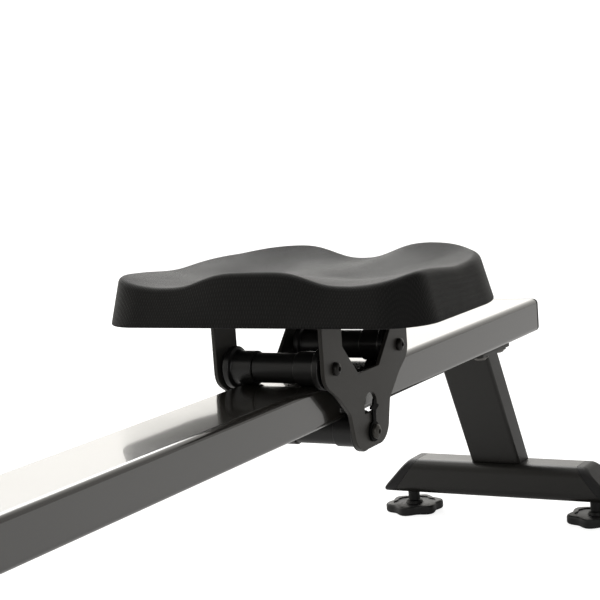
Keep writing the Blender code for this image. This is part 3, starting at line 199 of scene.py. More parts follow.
def facesOf(sheet, offset):
    # Four-cornered faces between neighbours of the grid, then the end faces.
    points, rowsMeet, columnsMeet, capFirst, capLast = sheet
    rows, columns = points.shape[:2]
    i = np.arange(rows if rowsMeet else rows - 1)[:, None]
    j = np.arange(columns if columnsMeet else columns - 1)[None, :]
    down, right = (i + 1) % rows, (j + 1) % columns
    corners = [i * columns + j, i * columns + right, down * columns + right, down * columns + j]
    quads = np.stack([c + 0 * (i + j) for c in corners], -1).reshape(-1, 4) + offset
    faces = quads.tolist()
    if capFirst:
        faces.append((np.arange(columns)[::-1] + offset).tolist())
    if capLast:
        faces.append((np.arange(columns) + (rows - 1) * columns + offset).tolist())
    return faces


def meshOf(name, sheets):
    # All the sheets in one mesh: doubles merged, then every face turned outwards.
    points = np.concatenate([s[0].reshape(-1, 3) for s in sheets])
    offsets = np.r_[0, np.cumsum([s[0].shape[0] * s[0].shape[1] for s in sheets])]
    faces = [face for s, offset in zip(sheets, offsets) for face in facesOf(s, int(offset))]
    mesh = bpy.data.meshes.new(name)
    mesh.from_pydata(points.tolist(), [], faces)
    return tidied(mesh)


def tidied(mesh, sharp=32.0):
    work = bmesh.new()
    work.from_mesh(mesh)
    bmesh.ops.remove_doubles(work, verts=work.verts, dist=0.000002)
    bmesh.ops.dissolve_degenerate(work, dist=0.000001, edges=work.edges)
    bmesh.ops.recalc_face_normals(work, faces=work.faces)
    work.to_mesh(mesh)
    work.free()
    mesh.shade_smooth()
    mesh.set_sharp_from_angle(angle=math.radians(sharp))
    return mesh


def show(name, mesh, material, body, nodes=()):
    # Puts a finished mesh in the scene on its body, in place of CAD nodes where it has any.
    piece = bpy.data.objects.new(name, mesh)
    bpy.context.scene.collection.objects.link(piece)
    mesh.materials.clear()
    mesh.materials.append(material)
    even = piece.modifiers.new("evenShading", "WEIGHTED_NORMAL")
    even.keep_sharp = True
    if body:
        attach(piece, body)
    if nodes:
        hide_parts(*nodes)
    return piece


def build(name, sheets, material, body, nodes=()):
    return show(name, meshOf(name, sheets), material, body, nodes)


def carved(name, solid, cutters):
    # The solid less each cutter, by exact Booleans, as one plain mesh.
    work = bpy.data.objects.new(name, meshOf(name, solid))
    bpy.context.scene.collection.objects.link(work)
    tools = []
    for sheets in cutters:
        tool = bpy.data.objects.new("cutter", meshOf("cutter", sheets))
        bpy.context.scene.collection.objects.link(tool)
        cutting = work.modifiers.new("cut", "BOOLEAN")
        cutting.operation = "DIFFERENCE"
        cutting.object = tool
        tools.append(tool)
    bpy.context.view_layer.update()
    graph = bpy.context.evaluated_depsgraph_get()
    mesh = bpy.data.meshes.new_from_object(work.evaluated_get(graph))
    for thing in [work, *tools]:
        bpy.data.objects.remove(thing, do_unlink=True)
    return tidied(mesh)


def plateMesh(name, loops, axis, low, high, edge=0.0004):
    # A plate cut to an outline with holes: a filled flat curve with its thickness and soft edges.
    turns = {"x": (math.pi / 2, 0, math.pi / 2), "y": (math.pi / 2, 0, 0), "z": (0, 0, 0)}
    curve = bpy.data.curves.new(name, "CURVE")
    curve.dimensions = "2D"
    curve.fill_mode = "BOTH"
    curve.extrude = abs(high - low) / 2 - edge
    curve.bevel_depth = edge
    curve.bevel_resolution = 1
    curve.offset = -edge
    for loop in loops:
        spline = curve.splines.new("POLY")
        spline.points.add(len(loop) - 1)
        padded = np.c_[loop, np.zeros(len(loop)), np.ones(len(loop))]
        spline.points.foreach_set("co", padded.ravel())
        spline.use_cyclic_u = True
    maker = bpy.data.objects.new(name, curve)
    bpy.context.scene.collection.objects.link(maker)
    maker.rotation_euler = turns[axis]
    maker.location["xyz".index(axis)] = (low + high) / 2
    bpy.context.view_layer.update()
    graph = bpy.context.evaluated_depsgraph_get()
    mesh = bpy.data.meshes.new_from_object(maker.evaluated_get(graph))
    mesh.transform(maker.matrix_world)
    bpy.data.objects.remove(maker, do_unlink=True)
    return tidied(mesh)


def merged(name, meshes):
    # Several finished meshes as one.
    work = bmesh.new()
    for mesh in meshes:
        work.from_mesh(mesh)
    whole = bpy.data.meshes.new(name)
    work.to_mesh(whole)
    work.free()
    whole.shade_smooth()
    whole.set_sharp_from_angle(angle=math.radians(32))
    return whole


def ringLoop(radius, steps=48, centre=(0, 0)):
    angle = np.linspace(0, 2 * math.pi, steps, endpoint=False)
    return np.stack([np.cos(angle), np.sin(angle)], -1) * radius + np.array(centre)


# Materials

def nodeIn(tree, kind, inputs=None, **settings):
    node = tree.nodes.new(kind)
    for key, value in settings.items():
        setattr(node, key, value)
    for key, value in (inputs or {}).items():
        if isinstance(value, bpy.types.NodeSocket):
            tree.links.new(value, node.inputs[key])
        else:
            node.inputs[key].default_value = value
    return node


def newMaterial(name, slot, metallic=0.0, **plain):
    material = bpy.data.materials.new(name)
    material.use_nodes = True
    material["slot"] = slot
    shader = material.node_tree.nodes["Principled BSDF"]
    shader.inputs["Metallic"].default_value = metallic
    for key, value in plain.items():
        shader.inputs[key].default_value = value
    return material, material.node_tree, shader


def objectPoint(tree, scale=(1, 1, 1), turn=(0, 0, 0)):
    place = nodeIn(tree, "ShaderNodeTexCoord").outputs["Object"]
    mapping = nodeIn(tree, "ShaderNodeMapping", {"Vector": place, "Scale": scale, "Rotation": turn})
    return mapping.outputs["Vector"]


def noiseIn(tree, point, scale, detail=2.0, roughness=0.55):
    return nodeIn(tree, "ShaderNodeTexNoise", {
        "Vector": point, "Scale": scale, "Detail": detail, "Roughness": roughness,
    }).outputs["Fac"]


def ranged(tree, value, low, high, start=0.3, end=0.7):
    return nodeIn(tree, "ShaderNodeMapRange", {
        "Value": value, "From Min": start, "From Max": end, "To Min": low, "To Max": high,
    }).outputs["Result"]


def mixedColour(tree, share, first, second):
    mix = nodeIn(tree, "ShaderNodeMix", {"Factor": share}, data_type="RGBA")
    mix.inputs[6].default_value = (*first, 1)
    mix.inputs[7].default_value = (*second, 1)
    return mix.outputs[2]


def grainMaterial(name, slot, dark, light, roughness, grain, depth, metallic=0.0, cells=False,
                  blotch=9.0, stretch=(1, 1, 1), **plain):
    # Colour and roughness drift in broad patches, under a fine grain that is in the bump.
    material, tree, shader = newMaterial(name, slot, metallic, **plain)
    point = objectPoint(tree, stretch)
    broad = noiseIn(tree, point, blotch, 3.0)
    fine = noiseIn(tree, point, grain, 3.0, 0.6)
    if cells:
        fine = nodeIn(tree, "ShaderNodeTexVoronoi", {"Vector": point, "Scale": grain},
                      feature="SMOOTH_F1").outputs["Distance"]
    tint = nodeIn(tree, "ShaderNodeMath", {0: broad, 1: fine}, operation="MULTIPLY_ADD")
    tint.inputs[2].default_value = 0.12
    tree.links.new(mixedColour(tree, tint.outputs[0], dark, light), shader.inputs["Base Color"])
    tree.links.new(ranged(tree, broad, *roughness), shader.inputs["Roughness"])
    bump = nodeIn(tree, "ShaderNodeBump", {"Height": fine, "Distance": depth, "Strength": 1.0})
    tree.links.new(bump.outputs["Normal"], shader.inputs["Normal"])
    return material


def seatSkin():
    # Moulded polyurethane: a diamond grain from two crossed waves all over the pad, with small pits
    # between.
    settings = {"pitch": 1.5e-3, "depth": 0.00022, "slant": math.radians(32)}
    material, tree, shader = newMaterial("seatSkin", "seat_foam", 0.0)
    shader.inputs["Sheen Weight"].default_value = 0.06
    shader.inputs["Sheen Roughness"].default_value = 0.45
    shader.inputs["Specular IOR Level"].default_value = 0.15
    waves = []
    for sign in (1, -1):
        point = objectPoint(tree, (1, 1, 1), (0, 0, sign * settings["slant"]))
        wave = nodeIn(tree, "ShaderNodeTexWave", {
            "Vector": point, "Scale": 0.314159 / settings["pitch"], "Distortion": 0.6,
            "Detail": 1.0, "Detail Scale": 3.0,
        }, bands_direction="X")
        waves.append(wave.outputs["Fac"])
    crossed = nodeIn(tree, "ShaderNodeMath", {0: waves[0], 1: waves[1]}, operation="MULTIPLY")
    place = objectPoint(tree)
    pits = noiseIn(tree, place, 1500.0, 2.0, 0.6)
    height = nodeIn(tree, "ShaderNodeMath", {0: crossed.outputs[0], 1: pits}, operation="ADD")
    broad = noiseIn(tree, place, 14.0, 3.0)
    colour = mixedColour(tree, ranged(tree, height.outputs[0], 0.0, 1.0, 0.3, 1.3),
                         (0.0035, 0.0035, 0.0034), (0.0095, 0.0095, 0.0092))
    tree.links.new(colour, shader.inputs["Base Color"])
    tree.links.new(ranged(tree, broad, 0.50, 0.62), shader.inputs["Roughness"])
    bump = nodeIn(tree, "ShaderNodeBump", {
        "Height": height.outputs[0], "Distance": settings["depth"], "Strength": 0.85,
    })
    tree.links.new(bump.outputs["Normal"], shader.inputs["Normal"])
    return material


def webbingCloth(name):
    # A plain weave: ribs across the strap over a finer thread along it, from the strap's own map.
    material, tree, shader = newMaterial(name, "webbing", 0.0)
    shader.inputs["Sheen Weight"].default_value = 0.35
    place = nodeIn(tree, "ShaderNodeAttribute", attribute_name="alongAcross").outputs["Vector"]
    ribs = nodeIn(tree, "ShaderNodeTexWave", {"Vector": place, "Scale": 175.0}, bands_direction="X")
    threads = nodeIn(tree, "ShaderNodeTexWave", {"Vector": place, "Scale": 260.0},
                     bands_direction="Y")
    height = nodeIn(tree, "ShaderNodeMath", {0: ribs.outputs["Fac"], 1: threads.outputs["Fac"]},
                    operation="MULTIPLY")
    fuzz = noiseIn(tree, place, 900.0, 2.0)
    whole = nodeIn(tree, "ShaderNodeMath", {0: fuzz, 1: 0.3, 2: height.outputs[0]},
                   operation="MULTIPLY_ADD")
    colour = mixedColour(tree, ranged(tree, whole.outputs[0], 0.0, 1.0, 0.1, 1.1),
                         (0.010, 0.010, 0.011), (0.040, 0.040, 0.043))
    tree.links.new(colour, shader.inputs["Base Color"])
    tree.links.new(ranged(tree, fuzz, 0.78, 0.92), shader.inputs["Roughness"])
    bump = nodeIn(tree, "ShaderNodeBump", {"Height": whole.outputs[0], "Distance": 0.0005})
    tree.links.new(bump.outputs["Normal"], shader.inputs["Normal"])
    return material


materials = {
    "railPaint": grainMaterial("railPaint", "painted_steel", (0.0150, 0.0136, 0.0112),
                               (0.0240, 0.0218, 0.0182), (0.18, 0.24), 900.0, 0.00001, 0.20,
                               **{"Coat Weight": 0.80, "Coat Roughness": 0.05, "IOR": 2.0,
                                  "Coat IOR": 1.8}),
    # A darker copy of the rail's steel paint: painted shade for the leg, which sits low under the rail
    # near the floor. The stands, mount plate and main frame share it.
    "shadeDarkenedPaint": grainMaterial("shadeDarkenedPaint", "painted_steel", (0.0125, 0.0120, 0.0108),
                              (0.0230, 0.0220, 0.0198), (0.30, 0.38), 900.0, 0.00004, 0.18),
    "platePaint": grainMaterial("platePaint", "plate_steel", (0.034, 0.0322, 0.0290),
                                (0.054, 0.0512, 0.0460), (0.34, 0.42), 1100.0, 0.00005, 0.30),
    "blackPlastic": grainMaterial("blackPlastic", "black_plastic", (0.0060, 0.0060, 0.0062),
                                  (0.0130, 0.0130, 0.0135), (0.40, 0.52), 1300.0, 0.00006,
                                  **{"Specular IOR Level": 0.35}),
    "greyPlastic": grainMaterial("greyPlastic", "grey_plastic", (0.060, 0.060, 0.063),
                                 (0.080, 0.080, 0.084), (0.42, 0.55), 1500.0, 0.00006),
    "rollerPlastic": grainMaterial("rollerPlastic", "roller_plastic", (0.006, 0.006, 0.006),
                                   (0.012, 0.012, 0.012), (0.22, 0.32), 700.0, 0.00002),
    "sleevePlastic": grainMaterial("sleevePlastic", "black_plastic", (0.005, 0.005, 0.005),
                                   (0.011, 0.011, 0.011), (0.26, 0.36), 700.0, 0.00002),
    "rubber": grainMaterial("rubber", "rubber", (0.008, 0.008, 0.008), (0.018, 0.018, 0.017),
                            (0.70, 0.88), 1600.0, 0.00008),
    "gripFoam": grainMaterial("gripFoam", "grip_foam", (0.012, 0.012, 0.013),
                              (0.034, 0.034, 0.036), (0.85, 0.95), 950.0, 0.00022, cells=True),
    "zincPlate": grainMaterial("zincPlate", "zinc", (0.36, 0.36, 0.35), (0.58, 0.58, 0.57),
                               (0.26, 0.40), 400.0, 0.00002, 0.9, blotch=60.0),
    "boltGrey": grainMaterial("boltGrey", "zinc", (0.16, 0.155, 0.145), (0.26, 0.25, 0.24),
                              (0.30, 0.42), 500.0, 0.00002, 0.85, blotch=60.0),
    "blackOxide": grainMaterial("blackOxide", "dark_steel", (0.012, 0.011, 0.010),
                                (0.026, 0.024, 0.021), (0.28, 0.40), 900.0, 0.00003, 0.5),
    "lowerBolt": grainMaterial("lowerBolt", "dark_steel", (0.060, 0.057, 0.052),
                               (0.110, 0.105, 0.097), (0.28, 0.38), 900.0, 0.00003, 0.7),
    "tabPaint": grainMaterial("tabPaint", "dark_steel", (0.003, 0.003, 0.003),
                              (0.007, 0.007, 0.007), (0.50, 0.60), 900.0, 0.00003, 0.0,
                              **{"Specular IOR Level": 0.06}),
    "turnedIron": grainMaterial("turnedIron", "cast_iron", (0.12, 0.12, 0.12), (0.22, 0.22, 0.22),
                                (0.32, 0.48), 500.0, 0.00008, 0.85, stretch=(1, 14, 1)),
    "buttonPlastic": grainMaterial("buttonPlastic", "button", (0.36, 0.36, 0.37),
                                   (0.46, 0.46, 0.47), (0.38, 0.50), 1300.0, 0.00004),
    "lensPlastic": grainMaterial("lensPlastic", "lens", (0.010, 0.014, 0.013),
                                 (0.020, 0.026, 0.024), (0.05, 0.09), 40.0, 0.000004),
    "seatSkin": seatSkin(),
    "webbing": webbingCloth("webbing"),
}
print("materials made:", len(materials))


# Camera, lights and floor

def setCamera():
    # Beside the rail on its right, looking rearwards along it and slightly down.
    settings = {"place": (-0.81886, -0.7132, 0.51501), "yaw": 0.508404, "pitch": 0.122208,
                "roll": -0.072063, "lens": 93.96}
    yaw, pitch = settings["yaw"], settings["pitch"]
    forward = Vector((math.cos(yaw) * math.cos(pitch), math.sin(yaw) * math.cos(pitch),
                      -math.sin(pitch)))
    data = bpy.data.cameras.new("camera")
    data.lens = settings["lens"]
    data.sensor_width = 36
    data.clip_end = 60
    camera = bpy.data.objects.new("camera", data)
    bpy.context.scene.collection.objects.link(camera)
    level = forward.to_track_quat("-Z", "Y").to_matrix().to_4x4()
    roll = Matrix.Rotation(settings["roll"], 4, "Z")
    camera.matrix_world = Matrix.Translation(settings["place"]) @ level @ roll
    bpy.context.scene.camera = camera


def setLights():
    settings = {
        "behind": {"place": (2.6, 1.6, 2.3), "aim": (0.45, 0.0, 0.3), "size": 2.2, "power": 42},
        "above": {"place": (0.1, 0.2, 2.8), "aim": (0.3, 0.0, 0.2), "size": 1.8, "power": 12},
        "near": {"place": (-2.2, -2.6, 1.3), "aim": (0.3, 0.0, 0.3), "size": 1.6, "power": 12},
    }
    for name, lamp in settings.items():
        data = bpy.data.lights.new(name, "AREA")
        data.size = lamp["size"]
        data.energy = lamp["power"]
        light = bpy.data.objects.new(name, data)
        bpy.context.scene.collection.objects.link(light)
        light.location = lamp["place"]
        aim = Vector(lamp["aim"]) - Vector(lamp["place"])
        light.rotation_euler = aim.to_track_quat("-Z", "Y").to_euler()
    # The room is white behind the machine and dim on the camera's side, where only the camera
    # itself sees it as white.
    room = {"towards": (0.50, 0.87, 0.0), "dim": 0.35, "white": 1.65}
    world = bpy.data.worlds.new("studio")
    world.use_nodes = True
    tree = world.node_tree
    direction = nodeIn(tree, "ShaderNodeTexCoord").outputs["Generated"]
    facing = nodeIn(tree, "ShaderNodeVectorMath", {0: direction, 1: room["towards"]},
                    operation="DOT_PRODUCT").outputs["Value"]
    lit = ranged(tree, facing, room["dim"], room["white"], 0.0, 0.7)
    seen = nodeIn(tree, "ShaderNodeLightPath").outputs["Is Camera Ray"]
    strength = nodeIn(tree, "ShaderNodeMath", {0: lit, 1: seen}, operation="MAXIMUM")
    background = tree.nodes["Background"]
    tint = mixedColour(tree, seen, (1.0, 0.975, 0.925), (1.0, 1.0, 1.0))
    tree.links.new(tint, background.inputs["Color"])
    tree.links.new(strength.outputs[0], background.inputs["Strength"])
    bpy.context.scene.world = world
    bpy.context.scene.view_settings.view_transform = "Standard"


def setFloor():
    half = 12.0
    mesh = bpy.data.meshes.new("floor")
    corners = [(-half, -half, 0), (half, -half, 0), (half, half, 0), (-half, half, 0)]
    mesh.from_pydata(corners, [], [(0, 1, 2, 3)])
    material, tree, shader = newMaterial("paleFloor", "", 0.0)
    shader.inputs["Base Color"].default_value = (0.40, 0.40, 0.40, 1)
    shader.inputs["Roughness"].default_value = 0.9
    shader.inputs["Emission Color"].default_value = (1, 1, 1, 1)
    glow = nodeIn(tree, "ShaderNodeLightPath").outputs["Is Camera Ray"]
    tree.links.new(ranged(tree, glow, 0.15, 0.85, 0.0, 1.0), shader.inputs["Emission Strength"])
    mesh.materials.append(material)
    floor = bpy.data.objects.new("floor", mesh)
    bpy.context.scene.collection.objects.link(floor)
    floor.location.z = -0.0005


setCamera()
setLights()
setFloor()
print("camera, lights and floor set")


# Seat

seat = {
    "frontReach": 0.1186, "rearReach": 0.1386, "width": 0.337, "under": 0.0602, "draft": 0.0095,
    "round": 0.0085, "frontRound": 0.0060, "frontCorner": 0.043, "rearCorner": 0.112,
    "columns": 288, "deep": 0.020,
}
carriageX = float(middleOf("lower_spacer")[0])
railLow, railHigh = spanOf("rail")
railTop, railBottom = float(railHigh[2]), float(railLow[2])


def seatLoop(inset):
    # The outline from above: a rectangle with tight front and wide rear corners, moved inwards.
    ahead, behind = seat["frontReach"] - inset, seat["rearReach"] - inset
    y = seat["width"] / 2 - inset
    front, rear = seat["frontCorner"] - inset, seat["rearCorner"] - inset
    corners = [(-ahead, 0, 0), (-ahead, -y, front), (behind, -y, rear), (behind, y, rear),
               (-ahead, y, front)]
    return evenly(filleted(corners, 24), seat["columns"])


def seatRing(insets):
    # Each point of the outline moved inwards by its own distance.
    share = np.broadcast_to(insets, seat["columns"])[:, None] / seat["deep"]
    return seatLoop(0) * (1 - share) + seatLoop(seat["deep"]) * share


def towardsFront(x):
    return smoothStep(-x / seat["frontReach"], 0.60, 0.86)


def seatRim(x, y):
    # The crest's height: front = pommel exp(-(|y|/60 mm)^4) between two thigh dips, rear = flat
    # less a tailbone notch, flanks = low in the middle, and smooth steps between the three.
    side = np.abs(y)
    front = 0.0960 + 0.0135 * np.exp(-((side / 0.060) ** 4))
    front = front + 0.0105 * np.maximum(0.0, (side - 0.095) / 0.060) ** 1.9
    rear = 0.1103 - 0.0147 * np.exp(-((side / 0.041) ** 2.5))
    flank = 0.1003 + 0.0065 * (1 - np.exp(-(((x - 0.008) / 0.058) ** 2)))
    toFront = towardsFront(x)
    toRear = smoothStep(x / seat["rearReach"], 0.62, 0.88)
    return front * toFront + rear * toRear + flank * (1 - toFront - toRear)


def seatBowl(x, y):
    # The hollow's height: two bell-shaped bowls and a ridge that climbs forwards between them.
    side = np.abs(y)
    bowls = np.exp(-(((side - 0.072) / 0.045) ** 2) - ((x - 0.020) / 0.062) ** 2)
    ridge = np.exp(-((side / 0.040) ** 2)) * smoothStep(-x, 0.0, 0.110)
    return 0.0940 - 0.0055 * bowls + 0.0120 * ridge


def seatSheet():
    # Rings from the top's middle outwards: height = bowl (1 - s^3.5) + rim s^3.5, then a round
    # edge through 76 degrees, the drafted side, a small round and the flat underside.
    tight = towardsFront(seatLoop(0)[:, 0])
    edgeRound = seat["round"] * (1 - tight) + seat["frontRound"] * tight
    crest = seatRing(seat["draft"] + edgeRound)
    rim = seatRim(crest[:, 0], crest[:, 1])
    rings = []
    for share in np.linspace(0, 1, 64) ** 0.8:
        x, y = crest[:, 0] * share, crest[:, 1] * share
        rings.append(np.c_[x, y, seatBowl(x, y) * (1 - share**3.5) + rim * share**3.5])
    for turn in np.linspace(0, math.radians(76), 13)[1:]:
        ring = seatRing(seat["draft"] + edgeRound * (1 - math.sin(turn)))
        rings.append(np.c_[ring, rim - edgeRound * (1 - math.cos(turn))])
    edge = rings[-1]
    foot = np.c_[seatLoop(0.0002), np.full(seat["columns"], seat["under"] + 0.0018)]
    for share in np.linspace(0, 1, 14)[1:]:
        rings.append(edge * (1 - share) + foot * share)
    for turn in np.linspace(0, math.pi / 2, 5)[1:]:
        ring = seatLoop(0.0002 + 0.0018 * (1 - math.cos(turn)))
        height = seat["under"] + 0.0018 * (1 - math.sin(turn))
        rings.append(np.c_[ring, np.full(seat["columns"], height)])
    for share in (0.75, 0.4, 0.0):
        rings.append(np.c_[rings[-1][:, :2] * (share if share else 0), rings[-1][:, 2]])
    return sheetOf(np.stack(rings) + np.array([carriageX, 0, railTop]), False, True)


seatPiece = build("seatPad", [seatSheet()], materials["seatSkin"], "carriage", ["seat_pad"])
seatPiece.data.set_sharp_from_angle(angle=math.radians(80))
print("seat made")


# Rail with its end cap

def makeRail():
    settings = {"corner": 0.006, "wall": 0.0025}
    width, height = railHigh[1] - railLow[1], railTop - railBottom
    middle = (0, (railTop + railBottom) / 2)
    outer = boxLoop(width, height, settings["corner"], 8, middle)
    wall = settings["wall"]
    inner = boxLoop(width - 2 * wall, height - 2 * wall, settings["corner"] - wall, 8, middle)
    tube = hollowTube(outer, inner, railLow[0], railHigh[0], "x")
    build("rail", [tube], materials["railPaint"], "frame", ["rail"])
    low, high = spanOf("rail_end_cap")

    def capLoop(inset):
        return boxLoop(width - 2 * inset, height - 2 * inset, settings["corner"] - inset, 8, middle)

    face = railHigh[0] + clearance
    slab = roundSlab(capLoop, face, high[0], "x", 0.002)
    plugLoop = boxLoop(width - 2 * wall - 0.0008, height - 2 * wall - 0.0008, 0.003, 6, middle)
    plug = ringed([placed(plugLoop, low[0], "x"), placed(plugLoop, face + 0.0002, "x")])
    build("railEndCap", [slab, plug], materials["blackPlastic"], "frame", ["rail_end_cap"])


makeRail()


# Carriage

carriage = {
    "thickness": 0.004, "halfLength": 0.0883, "drop": 0.071, "flangeClear": 0.0008,
    "windowTop": 0.0502, "windowBottom": 0.0217, "shoulder": 0.0334, "floor": 0.0035,
    "wheelBase": 0.1348, "bore": 0.0043, "flangeWidth": 0.0062,
}
plateFace = float(spanOf("carriage_plate_left")[1][1])
plateInner = plateFace - carriage["thickness"]
lipInner = float(spanOf("carriage_plate_left")[0][1])
treadInner = float(spanOf("front_wheel_left")[0][1])
upperAxleZ = float(middleOf("front_spacer")[2])
lowerAxleZ = float(middleOf("lower_spacer")[2])
axles = {
    "front": (carriageX - carriage["wheelBase"] / 2, upperAxleZ),
    "rear": (carriageX + carriage["wheelBase"] / 2, upperAxleZ),
    "lower": (carriageX, lowerAxleZ),
}


def makeCarriagePlate(side, sign):
    # The outline is symmetric front to back, with the open window in its top, and the slot.
    drop, half, top = carriage["drop"], carriage["halfLength"], seat["under"] - clearance
    right = [
        (0.0340, -drop, 0.022), (0.0372, -drop + 0.021, 0.020), (0.0420, -0.032, 0.010),
        (half - 0.0223, -0.010, 0.020), (half, 0.004, 0.018), (half, top, 0),
        (carriage["windowTop"], top, 0), (carriage["windowTop"], carriage["shoulder"], 0.003),
        (carriage["windowBottom"], carriage["floor"], 0.003),
    ]
    corners = right + [(-u, v, r) for u, v, r in reversed(right)]
    outline = filleted([(carriageX + u, railTop + v, r) for u, v, r in corners], 10)
    slot = filleted([
        (carriageX + u, railTop + v, r)
        for u, v, r in ((-0.0136, -0.037, 0.001), (0.012, -0.037, 0.001),
                        (0.012, -0.0185, 0.0115), (-0.0136, -0.0185, 0.0115))
    ], 8)
    holes = [ringLoop(carriage["bore"], 24, place) for place in axles.values()]
    low, high = sorted((sign * plateInner, sign * plateFace))
    name = "carriagePlate" + side.title()
    wall = plateMesh(name, [outline, slot, *holes], "y", low, high, 0.0006)
    lips = []
    for end in (1, -1):
        span = sorted((carriageX + end * (carriage["windowTop"] + 0.0005),
                       carriageX + end * (half - 0.0005)))
        reach = sorted((sign * lipInner, sign * (plateFace - 0.001)))
        height = (railTop + top - clearance - carriage["thickness"], railTop + top - clearance)
        lips.append(blockSheet(span, reach, height, 0.0008, "z", 0.003))
    whole = merged(name, [wall, meshOf("lips", lips)])
    show(name, whole, materials["platePaint"], "carriage", ["carriage_plate_" + side])


def makeWheels(end):
    # Each wheel: a tread that runs on the rail, a flange beside it, and a raised hub outside.
    x, z = axles[end]
    outer = plateInner - clearance
    tread, flange = 0.01575, 0.0198
    edge = float(railHigh[1]) + carriage["flangeClear"]
    far = edge + carriage["flangeWidth"]
    right = filleted([
        (carriage["bore"], outer, 0), (0.0078, outer, 0.0003), (0.0085, far + 0.0004, 0.0006),
        (0.0110, far, 0.0004), (flange, far, 0.0016), (flange, edge, 0.0012),
        (tread, edge - 0.0012, 0.0016), (tread, treadInner, 0.0010),
        (carriage["bore"] + 0.005, treadInner, 0.0004),
        (carriage["bore"], treadInner + 0.0002, 0),
    ], 5, closed=False)
    for side, sign in (("left", 1), ("right", -1)):
        profile = right * np.array([1, sign])
        wheel = turnedSheet(np.vstack([profile, profile[:1]]), (x, 0, z), "y", 72)
        node = end + "_wheel_" + side
        build(end + "Wheel" + side.title(), [wheel], materials["rollerPlastic"],
              end + "_wheels", [node])
    half = treadInner - clearance
    sleeve = filleted([
        (carriage["bore"], -half, 0), (0.014, -half, 0.0006), (0.014, half, 0.0006),
        (carriage["bore"], half, 0),
    ], 4, closed=False)
    tube = turnedSheet(np.vstack([sleeve, sleeve[:1]]), (x, 0, z), "y", 72)
    build(end + "Spacer", [tube], materials["sleevePlastic"], end + "_wheels", [end + "_spacer"])


def hexRadius(angle, across):
    # A hexagon's distance from its middle in a direction: (across / 2) / cos(offset from a flat).
    offset = (angle % (math.pi / 3)) - math.pi / 6
    return across / 2 / np.cos(offset)


def buttonHead(centre, radius, height, sign, socket=0.0042, steps=72, axis="y"):
    # Rings from the socket's floor up its six-sided wall, over the dome and down to its face:
    # the dome's rise is height sqrt(1 - 0.8 (r / radius)^2), rescaled to end at the face.
    angle = np.linspace(0, 2 * math.pi, steps, endpoint=False)
    six = hexRadius(angle, socket)
    round_ = np.ones_like(angle)
    dome = lambda r: height * (0.35 + 0.65 * np.sqrt(np.maximum(0, 1 - (r / radius) ** 2)))
    rim = float(dome(socket * 0.62))
    rows = [(0 * six, rim - 0.0022), (six * 0.95, rim - 0.0022), (six, rim - 0.0020),
            (six, rim - 0.0002), (six * 1.04, rim)]
    for r in np.linspace(socket * 0.62, radius, 12):
        rows.append((round_ * r, float(dome(min(r, radius * 0.999)))))
    rows.append((round_ * radius, 0.0))
    rows.append((round_ * radius * 0.5, 0.0))
    grid = np.stack([np.stack([r * np.cos(angle), r * np.sin(angle)], -1) for r, _ in rows])
    heights = np.array([h for _, h in rows])[:, None] * sign
    rise = np.broadcast_to(heights, grid.shape[:2])
    points = placed(grid, rise, axis) + np.array(centre)
    return sheetOf(points, False, True, False, True)


def hexNut(centre, across, height, sign, bore, axis="y"):
    # Rings with the hexagon's radius, their corners cut back by a shallow cone at both faces.
    angle = np.linspace(0, 2 * math.pi, 72, endpoint=False)
    six = hexRadius(angle, across)
    inside = np.minimum(six, across * 0.5)
    ones = np.ones_like(angle)
    rows = [(ones * bore, 0), (inside * 0.97, 0), (np.minimum(six, across * 0.545), 0.0006),
            (six, 0.0012), (six, height - 0.0012), (np.minimum(six, across * 0.545), height - 0.0006),
            (inside * 0.97, height), (ones * bore, height)]
    grid = np.stack([np.stack([r * np.cos(angle), r * np.sin(angle)], -1) for r, _ in rows])
    rise = np.broadcast_to(np.array([h for _, h in rows])[:, None] * sign, grid.shape[:2])
    return sheetOf(placed(grid, rise, axis) + np.array(centre), True, True)


def makeAxle(end):
    # The bolt's head and washer on the right, its shank, and a nut on the left.
    x, z = axles[end]
    face = plateFace + clearance
    head = face + (0.0023 if end == "lower" else 0)
    radius = 0.0070 if end == "lower" else 0.0062
    shank = [(0, face + 0.0072), (0.0032, face + 0.0072), (0.0039, face + 0.0064),
             (0.0039, -head), (0, -head)]
    sheets = [
        turnedSheet(shank, (x, 0, z), "y", 32),
        buttonHead((x, -head, z), radius, 0.0048, -1),
        hexNut((x, face + 0.0010, z), 0.0118, 0.0052, 1, 0.0040),
        turnedSheet(filleted([(0.0041, face, 0), (0.0068, face, 0.0003),
                              (0.0068, face + 0.0009, 0.0003), (0.0041, face + 0.0009, 0)],
                             2, closed=False), (x, 0, z), "y", 40),
    ]
    paint = materials["lowerBolt" if end == "lower" else "blackOxide"]
    build(end + "AxleBolt", sheets, paint, "carriage", [end + "_axle_bolt"])


